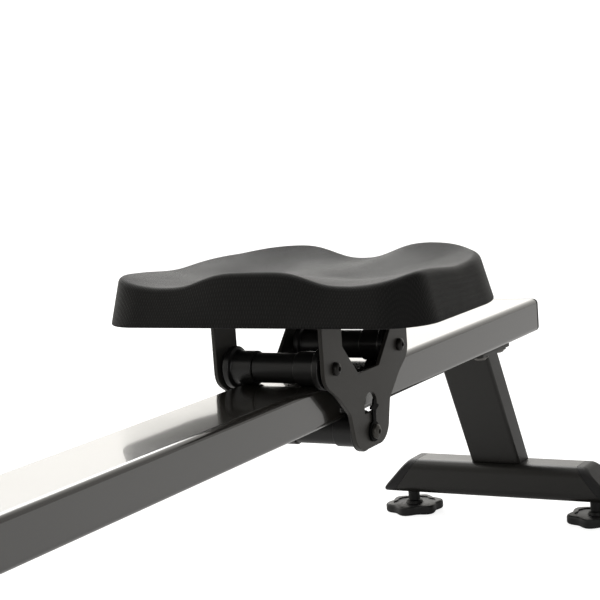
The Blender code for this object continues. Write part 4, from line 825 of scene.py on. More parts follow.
def makeTab():
    # A ring round the lower bolt, a neck, and a star whose radius swings between its points
    # and its waists: r = 4 mm + 4 mm ((1 + cos 4t) / 2)^1.6.
    settings = {"ring": 0.0098, "neck": 0.0030, "lift": 0.0330, "aside": 0.0030, "thick": 0.0020}
    x, z = axles["lower"]
    starX, starZ = x + settings["aside"], railTop - settings["lift"]
    turn = np.linspace(0, 2 * math.pi, 120, endpoint=False)
    reach = 0.0040 + 0.0040 * (0.5 + 0.5 * np.cos(4 * turn)) ** 1.6
    star = np.c_[starX + reach * np.cos(turn), starZ + reach * np.sin(turn)]
    near = -plateFace - clearance
    far = near - settings["thick"]
    ringPart = plateMesh("ring", [ringLoop(settings["ring"], 48, (x, z)),
                                  ringLoop(carriage["bore"], 32, (x, z))], "y", far, near, 0.0003)
    starPart = plateMesh("star", [star], "y", far - 0.0001, near, 0.0003)
    neck = blockSheet((x + 0.0015 - settings["neck"], x + 0.0015 + settings["neck"]),
                      (far + 0.0001, near - 0.0001), (z + 0.0070, starZ), 0.0003, "y", 0.0005)
    mesh = merged("rollerTab", [ringPart, starPart, meshOf("neck", [neck])])
    show("rollerTab", mesh, materials["tabPaint"], "carriage", ["roller_tab"])


for side, sign in (("left", 1), ("right", -1)):
    makeCarriagePlate(side, sign)
for end in axles:
    makeWheels(end)
    makeAxle(end)
makeTab()
print("carriage made")


# Rear leg, stabiliser and levelling knobs

def tubeLeg(topX, topZ, footX, footZ, width, depth, wall, corner):
    # A leaning tube cut level: section depth / sin(lean) long, shifted along x with height.
    lean = math.atan2(topZ - footZ, abs(footX - topX))
    outer = boxLoop(depth, width, corner, 6)
    inner = boxLoop(depth - 2 * wall, width - 2 * wall, corner - wall * 0.8, 6)
    stretch = np.array([1 / math.sin(lean), 1])

    def ringAt(loop, share):
        x = topX + (footX - topX) * share
        z = topZ + (footZ - topZ) * share
        return placed(loop * stretch + np.array([x, 0]), z, "z")

    rows = [ringAt(outer, s) for s in np.linspace(0, 1, 7)] + [ringAt(inner, 1), ringAt(inner, 0)]
    return sheetOf(np.stack(rows), True, True)


stabiliser = {"depth": 0.052, "height": 0.043, "bottom": 0.027, "corner": 0.013, "wall": 0.002,
              "cut": 0.033, "capTop": 0.0115, "capTip": 0.019}
stabiliserTop = stabiliser["bottom"] + stabiliser["height"]


def crossTube(x, seam):
    # The section along y, both ends slanted: y end = seam + cut (top - z) / height.
    middle = (x, stabiliser["bottom"] + stabiliser["height"] / 2)
    wall = stabiliser["wall"]
    outer = boxLoop(stabiliser["depth"], stabiliser["height"], stabiliser["corner"], 10, middle)
    inner = boxLoop(stabiliser["depth"] - 2 * wall, stabiliser["height"] - 2 * wall,
                    stabiliser["corner"] - wall, 10, middle)
    rate = stabiliser["cut"] / stabiliser["height"]

    def ringAt(loop, sign, push=0.0):
        return placed(loop, sign * (seam + rate * (stabiliserTop - loop[:, 1]) - push), "y")

    rows = [ringAt(outer, -1), ringAt(outer, 1), ringAt(inner, 1), ringAt(inner, -1)]
    return sheetOf(np.stack(rows), True, True)


def crossCap(x, seam, sign):
    # Rings from the seam outwards, the last ones drawn in along a quarter round. The tip is cut
    # back smoothly, y = min(y, tip) with a soft corner, so that it ends blunt.
    middle = (x, stabiliser["bottom"] + stabiliser["height"] / 2)
    near = stabiliser["cut"] / stabiliser["height"]
    far = (stabiliser["cut"] + stabiliser["capTip"] - stabiliser["capTop"]) / stabiliser["height"]
    blunt, edge = 0.0075, 0.0040
    tip = seam + stabiliser["cut"] + stabiliser["capTip"]
    rows = []
    for turn in np.r_[-1, np.linspace(0, math.pi / 2, 7)]:
        inset = edge * (1 - math.cos(max(turn, 0)))
        loop = boxLoop(stabiliser["depth"] - 2 * inset, stabiliser["height"] - 2 * inset,
                       stabiliser["corner"] - inset, 10, middle)
        below = stabiliserTop - loop[:, 1]
        if turn < 0:
            y = seam + 0.0004 + near * below
        else:
            y = seam + stabiliser["capTop"] + far * below
            over = np.maximum(0, y - (tip - blunt)) / blunt
            y = y - blunt * 0.45 * over**2 - edge * (1 - math.sin(turn))
        rows.append(placed(loop, sign * y, "y"))
    return ringed(rows)


def levellerSheets(x, y, node):
    # Six soft lobes: r = R - lobe (1 - cos 6t), drawn in at the top and bottom edges.
    settings = {"radius": 0.036, "lobe": 0.0028, "height": 0.011, "edge": 0.0028, "stem": 0.00725}
    angle = np.linspace(0, 2 * math.pi, 144, endpoint=False)
    reach = settings["radius"] - settings["lobe"] * (1 - np.cos(6 * angle))
    rows = []
    edge = settings["edge"]

    def ringAt(radius, z):
        return np.stack([x + radius * np.cos(angle), y + radius * np.sin(angle),
                         z + 0 * angle], -1)

    rows.append(ringAt(0 * reach, 0.0))
    for turn in np.linspace(0, math.pi / 2, 6):
        rows.append(ringAt(reach - edge * (1 - math.sin(turn)), edge * (1 - math.cos(turn))))
    top = settings["height"]
    for turn in np.linspace(0, math.pi / 2, 6):
        rows.append(ringAt(reach - edge * (1 - math.cos(turn)), top - edge * (1 - math.sin(turn))))
    hollow = np.minimum(reach - 0.007, 0.0265)
    rows.append(ringAt(hollow, top))
    rows.append(ringAt(hollow - 0.0008, top - 0.0016))
    rows.append(ringAt(0 * reach + 0.0115, top - 0.0016))
    high = spanOf(node)[1][2]
    stemTop = stabiliser["bottom"] - clearance
    body = sheetOf(np.stack(rows), False, True, False, True)
    stem = turnedSheet(filleted([
        (0, top - 0.002, 0), (0.0112, top - 0.002, 0.0005), (0.0095, top + 0.0018, 0.0012),
        (settings["stem"], top + 0.0030, 0.0010), (settings["stem"], stemTop, 0.0006),
        (0.0048, stemTop, 0.0001), (0.0048, high - 0.0008, 0.0005), (0, high, 0),
    ], 4, closed=False), (x, y, 0), "z", 48)
    return [body, stem]


def makeRearStand():
    x = float(middleOf("rear_stabiliser")[0])
    legHigh, plateLow = spanOf("rear_leg"), spanOf("leg_mount_plate")
    low, high = legHigh
    half = 0.030 / math.sin(math.radians(60.8)) / 2
    leg = tubeLeg(low[0] + half, high[2], high[0] - half, low[2], high[1] - low[1], 0.030, 0.002,
                  0.004)
    build("rearLeg", [leg], materials["shadeDarkenedPaint"], "frame", ["rear_leg"])
    seam = float(spanOf("rear_stabiliser")[1][1]) - stabiliser["cut"]
    build("rearStabiliser", [crossTube(x, seam)], materials["shadeDarkenedPaint"], "frame",
          ["rear_stabiliser"])
    for side, sign in (("left", 1), ("right", -1)):
        build("rearCap" + side.title(), [crossCap(x, seam, sign)], materials["blackPlastic"],
              "frame", ["rear_cap_" + side])
        node = "rear_leveller_" + side
        knobX, knobY = middleOf(node)[:2]
        build("rearLeveller" + side.title(), levellerSheets(knobX, knobY, node),
              materials["blackPlastic"], "leveller_" + side, [node])
    low, high = plateLow
    plateX = (low[0] + high[0]) / 2
    outline = boxLoop(high[0] - low[0], high[1] - low[1], 0.006, 6, (plateX, 0))
    mesh = plateMesh("legMountPlate", [outline], "z", low[2], high[2], 0.0006)
    show("legMountPlate", mesh, materials["shadeDarkenedPaint"], "frame", ["leg_mount_plate"])
    for side, sign in (("left", 1), ("right", -1)):
        node = "leg_bolt_" + side
        x, y = middleOf(node)[:2]
        for end, place in (("Front", x), ("Rear", 2 * plateX - x)):
            washer = filleted([(0.0052, 0, 0), (0.0096, 0, 0.0003), (0.0096, -0.0012, 0.0003),
                               (0.0052, -0.0012, 0)], 2, closed=False)
            sheets = [
                turnedSheet(washer + np.array([0, low[2] - clearance]), (place, y, 0), "z", 48),
                buttonHead((place, y, low[2] - 0.0014), 0.0070, 0.0042, -1, 0.005, 72, "z"),
            ]
            name = "legBolt" + end + side.title()
            build(name, sheets, materials["boltGrey"], "frame", [node] if end == "Front" else ())


makeRearStand()
print("rear stand made")


# Stops and seat base

def makeBlocks():
    # The rubber stops on the rail, and the steel plate moulded into the seat's underside.
    settings = {"front_stop": ("rubber", 0.0020), "rear_stop": ("rubber", 0.0015)}
    for node, (material, radius) in settings.items():
        low, high = spanOf(node)
        spans = [(low[k], high[k]) for k in range(3)]
        name = node.split("_")[0] + "Stop"
        build(name, [blockSheet(*spans, radius, "z", 0.003)], materials[material], "frame", [node])
    low, high = spanOf("seat_base")
    spans = [(low[k], high[k]) for k in range(3)]
    build("seatBase", [blockSheet(*spans, 0.0008, "z", 0.012)], materials["platePaint"],
          "carriage", ["seat_base"])


makeBlocks()


# Main frame

flywheelX, flywheelZ = (float(v) for v in middleOf("flywheel")[[0, 2]])
drumX, drumZ = (float(v) for v in middleOf("strap_drum")[[0, 2]])
rollerX, rollerZ = (float(v) for v in middleOf("guide_roller")[[0, 2]])
handleX, handleZ = (float(v) for v in middleOf("grip_left")[[0, 2]])
mastX = float(middleOf("console_mast")[0])
axleX, axleZ = (float(v) for v in middleOf("foot_axle")[[0, 2]])
main = {
    "width": 0.060, "height": 0.050, "corner": 0.006, "wall": 0.003, "cheekInner": 0.029,
    "cheek": 0.006, "weld": 0.001, "front": -0.900, "rear": -0.260, "legWidth": 0.0625,
    "legDepth": 0.030, "legWall": 0.002, "legRise": 0.043, "axleHole": 0.0083,
    "brakeReach": 0.155, "brakeAngle": math.radians(65), "wheelFlywheel": 0.125,
}
spineTop = railBottom - clearance
spineBottom = spineTop - main["height"]
cheekOuter = main["cheekInner"] + main["cheek"]
brakeX = flywheelX + main["brakeReach"] * math.cos(main["brakeAngle"])
brakeZ = flywheelZ + main["brakeReach"] * math.sin(main["brakeAngle"])
standX = float(middleOf("front_stabiliser")[0])


def makeMainFrame():
    middle = (0, (spineTop + spineBottom) / 2)
    wall = main["wall"]
    outer = boxLoop(main["width"], main["height"], main["corner"], 8, middle)
    inner = boxLoop(main["width"] - 2 * wall, main["height"] - 2 * wall, 0.003, 8, middle)
    spine = hollowTube(outer, inner, main["front"], main["rear"], "x")
    bore = ringed([placed(ringLoop(main["axleHole"] - 0.002, 32, (axleX, axleZ)), side * 0.05, "y")
                   for side in (-1, 1)])
    tube = carved("spine", [spine], [[bore]])
    topX = standX + main["legRise"]
    leg = meshOf("leg", [tubeLeg(topX, spineBottom + main["weld"], standX, stabiliserTop + clearance,
                                 main["legWidth"], main["legDepth"], main["legWall"], 0.004)])
    low = spineBottom + 0.008
    corners = [
        (flywheelX - 0.060, low, 0.010), (drumX + 0.075, low, 0.010),
        (drumX + 0.045, drumZ - 0.020, 0.020), (rollerX + 0.012, rollerZ - 0.012, 0.010),
        (rollerX + 0.012, rollerZ + 0.014, 0.010), (rollerX - 0.030, rollerZ + 0.014, 0.010),
        (mastX + 0.035, drumZ + 0.105, 0.010), (brakeX, brakeZ + 0.022, 0.014),
        (brakeX - 0.022, brakeZ, 0.010), (flywheelX - 0.012, flywheelZ + 0.050, 0.020),
        (flywheelX - 0.050, flywheelZ, 0.020),
    ]
    holes = [ringLoop(0.0083, 32, (flywheelX, flywheelZ)), ringLoop(0.0083, 32, (drumX, drumZ)),
             ringLoop(0.0053, 24, (brakeX, brakeZ)), ringLoop(0.0043, 24, (rollerX, rollerZ))]
    cheeks = []
    for sign in (1, -1):
        low, high = sorted((sign * main["cheekInner"], sign * cheekOuter))
        cheeks.append(plateMesh("cheek", [filleted(corners, 6), *holes], "y", low, high, 0.0005))
    whole = merged("mainFrame", [tube, leg, *cheeks])
    show("mainFrame", whole, materials["shadeDarkenedPaint"], "frame", ["main_frame"])
    low, high = spanOf("console_mast")
    wide, deep = high[1] - low[1], high[0] - low[0]
    outer = boxLoop(deep, wide, 0.004, 6, (mastX, 0))
    inner = boxLoop(deep - 0.004, wide - 0.004, 0.002, 6, (mastX, 0))
    build("consoleMast", [hollowTube(outer, inner, low[2], high[2], "z")], materials["shadeDarkenedPaint"],
          "frame", ["console_mast"])
    low, high = spanOf("foot_axle")
    radius = (high[2] - low[2]) / 2
    half = filleted([(0, high[1], 0), (radius, high[1], 0.0015), (radius, low[1], 0.0015),
                     (0, low[1], 0)], 4, closed=False)
    build("footAxle", [turnedSheet(half, (axleX, 0, axleZ), "y", 48)], materials["zincPlate"],
          "frame", ["foot_axle"])


makeMainFrame()


def makeFrontStand():
    settings = {"pinRadius": 0.005, "pinHalf": 0.018, "ear": 0.003, "footRadius": 0.021,
                "footOut": 0.004}
    seam = float(spanOf("front_stabiliser")[1][1]) - stabiliser["cut"]
    seam = round(seam, 4)
    meshes = [meshOf("tube", [crossTube(standX, seam)])]
    for side, sign in (("left", 1), ("right", -1)):
        wheelNode = "transport_wheel_" + side
        wheelX, wheelY, wheelZ = (float(v) for v in middleOf(wheelNode))
        low, high = spanOf(wheelNode)
        half, radius = (high[1] - low[1]) / 2, (high[2] - low[2]) / 2
        rear = standX - stabiliser["depth"] / 4
        ear = filleted([
            (wheelX - 0.010, wheelZ - 0.010, 0.008), (rear, stabiliser["bottom"] + 0.006, 0),
            (rear, stabiliserTop - 0.006, 0), (wheelX - 0.010, wheelZ + 0.010, 0.008),
        ], 8)
        for out in (1, -1):
            middle = wheelY + out * (half + settings["ear"])
            meshes.append(plateMesh("ear", [ear], "y", middle - 0.0015, middle + 0.0015, 0.0004))
        pin = filleted(bothSides([
            (0, settings["pinHalf"], 0), (settings["pinRadius"], settings["pinHalf"], 0.001),
        ]), 3, closed=False)
        meshes.append(meshOf("pin", [turnedSheet(pin, (wheelX, wheelY, wheelZ), "y", 40)]))
        bore = settings["pinRadius"] + clearance
        web = half - 0.0035
        tread = filleted(bothSides([
            (bore, half, 0), (0.013, half, 0.001), (0.0145, web, 0.001),
            (radius - 0.0095, web, 0.001), (radius - 0.008, half, 0.001),
            (radius - 0.003, half, 0.001), (radius, half - 0.004, 0.002),
        ]), 4, closed=False)
        wheel = turnedSheet(np.vstack([tread, tread[:1]]), (wheelX, wheelY, wheelZ), "y", 96)
        build("transportWheel" + side.title(), [wheel], materials["rubber"],
              "transport_" + side, [wheelNode])
        footNode = "front_foot_" + side
        footY = sign * (seam + stabiliser["cut"] + settings["footOut"])
        big = settings["footRadius"]
        under = stabiliser["bottom"] - 0.0006
        foot = filleted([
            (0, under, 0), (big * 0.84, under, 0.001), (big, 0.0025, 0.002),
            (big - 0.002, 0, 0.0008), (0, 0, 0),
        ], 4, closed=False)
        sheets = [crossCap(standX, seam, sign), turnedSheet(foot, (standX, footY, 0), "z", 72)]
        build("frontFoot" + side.title(), sheets, materials["blackPlastic"], "frame", [footNode])
    show("frontStabiliser", merged("frontStabiliser", meshes), materials["shadeDarkenedPaint"], "frame",
         ["front_stabiliser"])


makeFrontStand()
print("main frame made")


# Flywheel, pulley, drum and rollers inside the housing

def makeDrive():
    low, high = spanOf("flywheel")
    big, half, thin = main["wheelFlywheel"], 0.015, 0.006
    axle = 0.008
    belt = -(cheekOuter + 0.004 + 0.007)
    wheel = filleted([
        (0, high[1], 0), (axle, high[1], 0.001), (axle, half + 0.006, 0), (0.020, half + 0.006, 0.001),
        (0.024, thin, 0.002), (big - 0.028, thin, 0.002), (big - 0.022, half, 0.001),
        (big, half, 0.0015), (big, -half, 0.0015), (big - 0.022, -half, 0.001),
        (big - 0.028, -thin, 0.002), (0.024, -thin, 0.002), (0.020, -half - 0.006, 0.001),
        (axle, -half - 0.006, 0), (axle, belt + 0.009, 0), (0.022, belt + 0.009, 0.0005),
        (0.022, belt - 0.009, 0.0005), (0, belt - 0.009, 0),
    ], 3, closed=False)
    build("flywheel", [turnedSheet(wheel, (flywheelX, 0, flywheelZ), "y", 128)],
          materials["turnedIron"], "flywheel_set", ["flywheel"])
    low, high = spanOf("guide_roller")
    wide = 0.027
    roller = filleted([
        (0, high[1], 0), (0.004, high[1], 0.0006), (0.004, wide, 0), (0.012, wide, 0.001),
        (0.012, -wide, 0.001), (0.004, -wide, 0), (0.004, low[1], 0.0006), (0, low[1], 0),
    ], 3, closed=False)
    build("guideRoller", [turnedSheet(roller, (rollerX, 0, rollerZ), "y", 64)],
          materials["rollerPlastic"], "roller", ["guide_roller"])
    hidden = {
        "strap_drum": "blackPlastic", "drive_pulley": "blackPlastic", "drive_belt": "rubber",
        "recoil_spring": "blackOxide", "brake_arm": "zincPlate",
    }
    for node, look in hidden.items():
        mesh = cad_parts[node].data
        mesh.materials.clear()
        mesh.materials.append(materials[look])


makeDrive()


# Housing and handle rest

housing = {"half": float(spanOf("housing_left")[1][1]), "wall": 0.003, "round": 0.014,
           "top": float(spanOf("housing_left")[1][2]), "split": 0.00015}


def housingLoop(inset):
    # The shell's outline from the side, moved inwards.
    front = flywheelX - main["wheelFlywheel"]
    corners = [
        (front - 0.020, spineTop + 0.0015, 0.030), (drumX + 0.090, spineTop + 0.0015, 0.020),
        (drumX + 0.083, drumZ + 0.035, 0.060), (handleX - 0.042, handleZ - 0.020, 0.010),
        (handleX - 0.042, handleZ + 0.030, 0.014), (handleX - 0.100, housing["top"], 0.040),
        (front + 0.025, housing["top"], 0.080), (front - 0.067, flywheelZ + 0.064, 0.120),
    ]
    return insetLoop(evenly(filleted(corners, 12), 220), inset)


def shellSheet(sign, inset, inner, outer, radius):
    # A solid half: flat at the middle, its outer edge a quarter round.
    rows = [placed(housingLoop(inset), sign * inner, "y")]
    for turn in np.linspace(0, math.pi / 2, 9):
        drawn = inset + radius * (1 - math.cos(turn))
        height = outer - radius * (1 - math.sin(turn))
        rows.append(placed(housingLoop(drawn), sign * height, "y"))
    return ringed(rows)


def slotCutter(x, z, length, sign):
    # A slanted opening with round ends through the side wall.
    lean = math.radians(62)
    loop = boxLoop(length, 0.0055, 0.0027, 5)
    turned = np.stack([loop[:, 0] * math.cos(lean) - loop[:, 1] * math.sin(lean),
                       loop[:, 0] * math.sin(lean) + loop[:, 1] * math.cos(lean)], -1)
    spots = [placed(turned + np.array([x, z]), sign * y, "y")
             for y in (housing["half"] - 0.012, housing["half"] + 0.006)]
    return ringed(spots)


def makeHousing():
    settings = {"vents": 7, "ventStep": 0.016, "ventLength": 0.062, "ventShrink": 0.004,
                "grooveInner": 0.1015, "grooveOuter": 0.1040, "grooveDepth": 0.0010, "knobHole": 0.005}
    for side, sign in (("left", 1), ("right", -1)):
        outside = shellSheet(sign, 0, housing["split"], housing["half"], housing["round"])
        hollow = shellSheet(sign, housing["wall"], -0.010, housing["half"] - housing["wall"],
                            housing["round"] - housing["wall"])
        cheekSide = cheekOuter + 0.003
        under = blockSheet((flywheelX - 0.070, drumX + 0.085), sorted((-sign * 0.002, sign * cheekSide)),
                           (spineBottom, spineTop + 0.012), 0.001)
        top = blockSheet((mastX - 0.0165, mastX + 0.0165), sorted((-sign * 0.002, sign * 0.0315)),
                         (housing["top"] - 0.02, housing["top"] + 0.02), 0.001)
        slot = blockSheet((handleX - 0.060, handleX - 0.030), sorted((-sign * 0.002, sign * 0.0155)),
                          (handleZ - 0.005, handleZ + 0.005), 0.001)
        knobX = float(middleOf("resistance_knob")[0])
        rod = ringed([placed(ringLoop(settings["knobHole"], 32, (knobX, 0)), housing["top"] + z, "z")
                      for z in (-0.02, 0.02)])
        vents = [slotCutter(flywheelX - 0.050 + settings["ventStep"] * i, flywheelZ - 0.010,
                            settings["ventLength"] - settings["ventShrink"] * abs(i - 3), sign)
                 for i in range(settings["vents"])]
        grooveFloor, past = housing["half"] - settings["grooveDepth"], housing["half"] + 0.002
        grooveIn, grooveOut = settings["grooveInner"], settings["grooveOuter"]
        line = sheetOf(np.stack([
            placed(ringLoop(radius, 96, (flywheelX, flywheelZ)), sign * y, "y")
            for radius, y in ((grooveIn, grooveFloor), (grooveIn, past),
                              (grooveOut, past), (grooveOut, grooveFloor))
        ]), True, True)
        mesh = carved("housing" + side.title(), [outside],
                      [[hollow], [under], [top], [slot], [rod], vents, [line]])
        show("housing" + side.title(), mesh, materials["greyPlastic"], "frame",
             ["housing_" + side])
    print("housing made")


makeHousing()


def makeHandleRest():
    low, high = spanOf("handle_rest")
    bar = 0.0125
    plate = blockSheet((low[0], low[0] + 0.004), (low[1], high[1]), (low[2], high[2]), 0.0012, "x", 0.006)
    slot = blockSheet((low[0] - 0.01, low[0] + 0.02), (-0.0155, 0.0155),
                      (handleZ - 0.005, handleZ + 0.005), 0.0008)
    meshes = [carved("plate", [plate], [[slot]])]
    tall = bar + 0.0055
    seatRadius = bar + clearance
    reach = handleX + 0.008
    inside = [(handleX + seatRadius * math.cos(t), handleZ + seatRadius * math.sin(t))
              for t in np.linspace(-math.pi / 2, -3 * math.pi / 2, 33)]
    outline = np.vstack([
        filleted([(low[0] + 0.002, handleZ + tall, 0), (low[0] + 0.002, handleZ - tall, 0),
                  (reach, handleZ - tall, 0.003), (reach, handleZ - seatRadius, 0.001)],
                 6, closed=False),
        np.array(inside), [(reach, handleZ + seatRadius)], [(reach, handleZ + tall)],
    ])
    for sign in (1, -1):
        near, far = sorted((sign * 0.044, sign * 0.060))
        meshes.append(plateMesh("arm", [outline], "y", near, far, 0.0008))
    show("handleRest", merged("handleRest", meshes), materials["blackPlastic"], "frame",
         ["handle_rest"])


makeHandleRest()


def makeKnob():
    # A grip whose radius swings in flutes, r = R - 1.1 mm (1 - cos 15t) / 2, on a screw rod.
    low = spanOf("resistance_knob")[0]
    x = float(middleOf("resistance_knob")[0])
    base = housing["top"] + 0.0008
    angle = np.linspace(0, 2 * math.pi, 180, endpoint=False)
    flute = 1 - 0.5 * (1 + np.cos(15 * angle))
    rows = []
    for radius, height, depth in ((0.0, 0, 0), (0.0245, 0, 0), (0.0257, 0.0008, 0), (0.0256, 0.004, 0.2),
                                  (0.0250, 0.0055, 1), (0.0218, 0.0235, 1), (0.0212, 0.0255, 0.3),
                                  (0.0190, 0.0280, 0), (0.0165, 0.0290, 0), (0.0160, 0.0282, 0),
                                  (0.0, 0.0276, 0)):
        reach = radius - 0.0011 * depth * flute
        rows.append(np.stack([x + reach * np.cos(angle), reach * np.sin(angle),
                              base + height + 0 * angle], -1))
    rod = filleted([(0, base + 0.001, 0), (0.004, base + 0.001, 0), (0.004, low[2], 0.001),
                    (0, low[2], 0)], 3, closed=False)
    sheets = [sheetOf(np.stack(rows), False, True), turnedSheet(rod, (x, 0, 0), "z", 32)]
    build("resistanceKnob", sheets, materials["blackPlastic"], "knob", ["resistance_knob"])


makeKnob()


# Handle, grips and pull strap

def makeHandle():
    settings = {"bar": 0.0125, "clipBack": 0.020, "clipHalf": 0.0165, "clipWide": 0.017,
                "gripRadius": 0.0168, "rib": 0.0007}
    low, high = spanOf("handle_bar")
    bar = filleted([(0, high[1], 0), (settings["bar"], high[1], 0.001),
                    (settings["bar"], low[1], 0.001), (0, low[1], 0)], 3, closed=False)
    half, wide = settings["clipHalf"], settings["clipWide"]
    block = blockSheet((low[0], handleX + half), (-wide, wide), (handleZ - half, handleZ + half),
                       0.0030, "y", 0.0055)
    ring = filleted([(0.0123, 0.0195, 0), (0.0158, 0.0195, 0.001), (0.0158, 0.0165, 0.001),
                     (0.0123, 0.0165, 0)], 3)
    sheets = [turnedSheet(bar, (handleX, 0, handleZ), "y", 72), block]
    for sign in (1, -1):
        profile = ring * np.array([1, sign])
        sheets.append(turnedSheet(np.vstack([profile, profile[:1]]), (handleX, 0, handleZ), "y", 72))
    build("handleBar", sheets, materials["blackOxide"], "handle", ["handle_bar"])
    for side, sign in (("left", 1), ("right", -1)):
        node = "grip_" + side
        low, high = spanOf(node)
        inner, outer = sorted((abs(low[1]), abs(high[1])))
        bore = settings["bar"] + clearance
        along = np.linspace(inner + 0.004, outer - 0.004, 120)
        share = (along - inner) / (outer - inner)
        swell = settings["gripRadius"] - 0.0012 + 0.0009 * np.sin(math.pi * share) ** 2
        swell = swell + settings["rib"] * (0.5 + 0.5 * np.cos(2 * math.pi * along / 0.0072)) ** 3
        rise = np.clip(np.minimum(along - inner - 0.004, outer - 0.004 - along) / 0.004, 0, 1)
        swell = swell * rise + 0.0155 * (1 - rise)
        profile = np.vstack([
            [(0, outer)], [(0.0110, outer)], [(0.0140, outer - 0.0008)], [(0.0154, outer - 0.0026)],
            np.c_[swell, along][::-1],
            [(0.0154, inner + 0.003)], [(0.0148, inner + 0.0008)], [(bore + 0.0005, inner)],
            [(bore, inner)], [(bore, outer - 0.0037)], [(0, outer - 0.0037)],
        ]) * np.array([1, sign])
        build("grip" + side.title(), [turnedSheet(profile, (handleX, 0, handleZ), "y", 72)],
              materials["gripFoam"], "handle", [node])


makeHandle()


def strapMesh(name, path, width, thickness, axis, middle=0.0):
    # A strap along a flat path: its mesh carries how far along and across each point lies.
    along = np.r_[0, np.cumsum(np.linalg.norm(np.diff(path, axis=0), axis=1))]
    tangent = np.gradient(path, axis=0)
    tangent /= np.linalg.norm(tangent, axis=1, keepdims=True)
    aside = np.stack([-tangent[:, 1], tangent[:, 0]], -1)
    across = np.linspace(-0.5, 0.5, 13)
    section = [(v, 0.5 * (1 - abs(2 * v) ** 8 * 0.5)) for v in across]
    section += [(v, -w) for v, w in reversed(section)]
    grid, where = [], []
    for i in range(len(path)):
        ring = []
        for share, lift in section:
            flat = path[i] + aside[i] * lift * thickness
            reach = middle + share * width
            order = {"y": (flat[0], reach, flat[1]), "x": (reach, flat[0], flat[1])}[axis]
            ring.append(order)
            where.append((along[i], share * width, 0.0))
        grid.append(ring)
    points = np.array(grid)
    mesh = bpy.data.meshes.new(name)
    faces = facesOf(sheetOf(points, False, True, True, True), 0)
    mesh.from_pydata(points.reshape(-1, 3).tolist(), [], faces)
    place = mesh.attributes.new("alongAcross", "FLOAT_VECTOR", "POINT")
    place.data.foreach_set("vector", np.array(where).ravel())
    return tidied(mesh, 60.0)


def makePullStrap():
    # From the drum up over the guide roller, then level into the handle's clip.
    drumReach, rollerReach = 0.045 + 0.0011, 0.012 + 0.0011
    apart = math.hypot(rollerX - drumX, rollerZ - drumZ)
    towards = math.atan2(rollerZ - drumZ, rollerX - drumX)
    angle = towards + math.acos((drumReach - rollerReach) / apart)
    start = np.array([drumX + drumReach * math.cos(angle), drumZ + drumReach * math.sin(angle)])
    turn = np.linspace(angle, math.pi / 2, 14)
    over = np.c_[rollerX + rollerReach * np.cos(turn), rollerZ + rollerReach * np.sin(turn)]
    rise = start + (over[0] - start) * np.linspace(0, 1, 24)[:-1, None]
    end = handleX - 0.0205
    level = np.c_[np.linspace(rollerX, end, 60)[1:], np.full(59, over[-1, 1])]
    mesh = strapMesh("pullStrap", np.vstack([rise, over, level]), 0.025, 0.0016, "y")
    strap = bpy.data.objects.new("pullStrap", mesh)
    bpy.context.scene.collection.objects.link(strap)
    mesh.materials.append(materials["webbing"])
    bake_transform(strap)
    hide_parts("pull_strap")


makePullStrap()
print("handle made")


# Console

def tilted(mesh, pivotX, pivotZ, angle):
    # The mesh turned about a line across the machine.
    turn = Matrix.Translation((pivotX, 0, pivotZ)) @ Matrix.Rotation(angle, 4, "Y")
    mesh.transform(turn)
    return mesh


def makeConsole():
    settings = {"tilt": math.radians(-28.0), "width": 0.150, "height": 0.104, "depth": 0.034,
                "low": 0.004, "screen": 0.052, "rise": 0.098}
    z = housing["top"] + settings["rise"]
    rear, low = settings["depth"] / 2, settings["low"]
    wide, screen = settings["width"] / 2, settings["screen"]
    screenLow, screenHigh = low + 0.042, low + settings["height"] - 0.012
    body = blockSheet((-rear, rear), (-wide, wide), (low, low + settings["height"]), 0.0060, "x", 0.016)
    window = blockSheet((rear - 0.002, rear + 0.010), (-screen, screen), (screenLow, screenHigh),
                        0.0004, "x", 0.003)
    well = blockSheet((rear - 0.006, rear + 0.010), (-0.016, 0.016), (low + 0.010, low + 0.028),
                      0.0004, "x", 0.004)
    seam = boxLoop(2 * wide + 0.01, settings["height"] + 0.01, 0.018, 6,
                   (0, low + settings["height"] / 2))
    inside = boxLoop(2 * wide - 0.0016, settings["height"] - 0.0016, 0.0152, 6,
                     (0, low + settings["height"] / 2))
    line = hollowTube(seam, inside, -0.0006, 0.0006, "x")
    face = carved("consoleFace", [body], [[window], [well], [line]])
    lug = meshOf("lug", [blockSheet((-0.010, 0.010), (-0.022, 0.022), (-0.008, low + 0.006), 0.002,
                                    "y", 0.006)])
    whole = tilted(merged("consoleBody", [face, lug]), mastX, z, settings["tilt"])
    show("consoleBody", whole, materials["blackPlastic"], "console", ["console_body"])
    lens = meshOf("consoleLens", [blockSheet(
        (rear - 0.0017, rear + 0.0006), (-screen + clearance, screen - clearance),
        (screenLow + clearance, screenHigh - clearance), 0.0004, "x", 0.0027)])
    show("consoleLens", tilted(lens, mastX, z, settings["tilt"]), materials["lensPlastic"],
         "console", ["console_lens"])
    button = meshOf("consoleButton", [blockSheet(
        (rear - 0.0035, rear + 0.0020), (-0.0157, 0.0157), (low + 0.0103, low + 0.0277),
        0.0010, "x", 0.0037)])
    show("consoleButton", tilted(button, mastX, z, settings["tilt"]), materials["buttonPlastic"],
         "button", ["console_button"])


makeConsole()
print("console made")


# Footplates and their straps

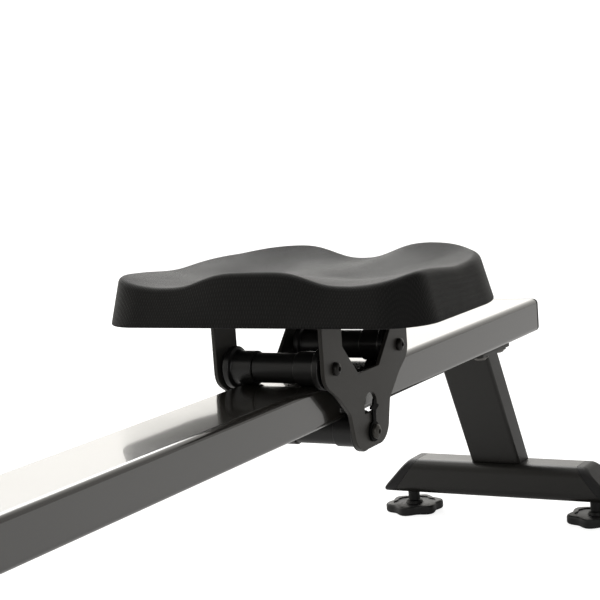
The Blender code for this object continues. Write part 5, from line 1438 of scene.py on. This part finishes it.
def makeFootplates():
    # Built level round the axle, then tilted: ribs run across the plate's tread.
    settings = {"slope": math.radians(50.0), "toe": 0.185, "heel": 0.105, "under": 0.014,
                "thick": 0.008, "width": 0.104, "inner": housing["half"] + 0.013}
    under = settings["under"]
    top = under + settings["thick"]
    for side, sign in (("left", 1), ("right", -1)):
        inner = settings["inner"]
        outer = inner + settings["width"]
        near, far = sorted((sign * inner, sign * outer))
        middle = (near + far) / 2
        corners = [(-settings["toe"], near, 0.022), (settings["heel"], near, 0.010),
                   (settings["heel"], far, 0.010), (-settings["toe"], far, 0.022)]
        plate = plateMesh("plate", [filleted(corners, 8)], "z", under, top, 0.0012)
        ribs = []
        for x in np.arange(-0.165, 0.080, 0.0125):
            if -0.088 < x < -0.038:
                continue
            ribs.append(blockSheet((x - 0.0016, x + 0.0016), (near + 0.010, far - 0.010),
                                   (top - 0.001, top + 0.0011), 0.0007, "z", 0.0014))
        heel = settings["heel"]
        cup = blockSheet((heel - 0.011, heel - 0.003), (near + 0.003, far - 0.003),
                         (under + 0.003, top + 0.028), 0.0020, "x", 0.014)
        lug = filleted([(-0.030, under + 0.003, 0), (-0.012, -0.012, 0.011),
                        (0.012, -0.012, 0.011), (0.030, under + 0.003, 0)], 8)
        lowLug, highLug = near + 0.012, far - 0.012
        hub = plateMesh("hub", [lug, ringLoop(0.0063, 40)], "y", lowLug, highLug, 0.0008)
        solid = merged("footplate" + side.title(), [plate, meshOf("ribs", [*ribs, cup]), hub])
        tilted(solid, axleX, axleZ, settings["slope"])
        show("footplate" + side.title(), solid, materials["blackPlastic"], "pedal_" + side,
             ["footplate_" + side])
        rise = top + clearance
        path = filleted([
            (near + 0.005, rise, 0), (near + 0.012, rise + 0.072, 0.034),
            (far - 0.012, rise + 0.072, 0.034), (far - 0.005, rise, 0),
        ], 22, closed=False)
        dense = [path[:1]]
        for a, b in zip(path[:-1], path[1:]):
            count = max(2, int(np.linalg.norm(b - a) / 0.003))
            dense.append((a + (b - a) * np.linspace(0, 1, count)[:, None])[1:])
        strap = strapMesh("footStrap" + side.title(), np.vstack(dense), 0.038, 0.0025, "x", -0.063)
        tilted(strap, axleX, axleZ, settings["slope"])
        show("footStrap" + side.title(), strap, materials["webbing"], "pedal_" + side,
             ["foot_strap_" + side])
        high = rise + 0.072
        buckle = blockSheet((-0.086, -0.040), (middle - 0.010, middle + 0.010),
                            (high + 0.0008, high + 0.0044), 0.0012, "z", 0.003)
        tongue = blockSheet((-0.080, -0.046), (middle - 0.0055, middle + 0.0055),
                            (high + 0.0040, high + 0.0060), 0.0009, "z", 0.002)
        clip = tilted(meshOf("buckle", [buckle, tongue]), axleX, axleZ, settings["slope"])
        show("footBuckle" + side.title(), clip, materials["sleevePlastic"], "pedal_" + side)


makeFootplates()
print("footplates made")
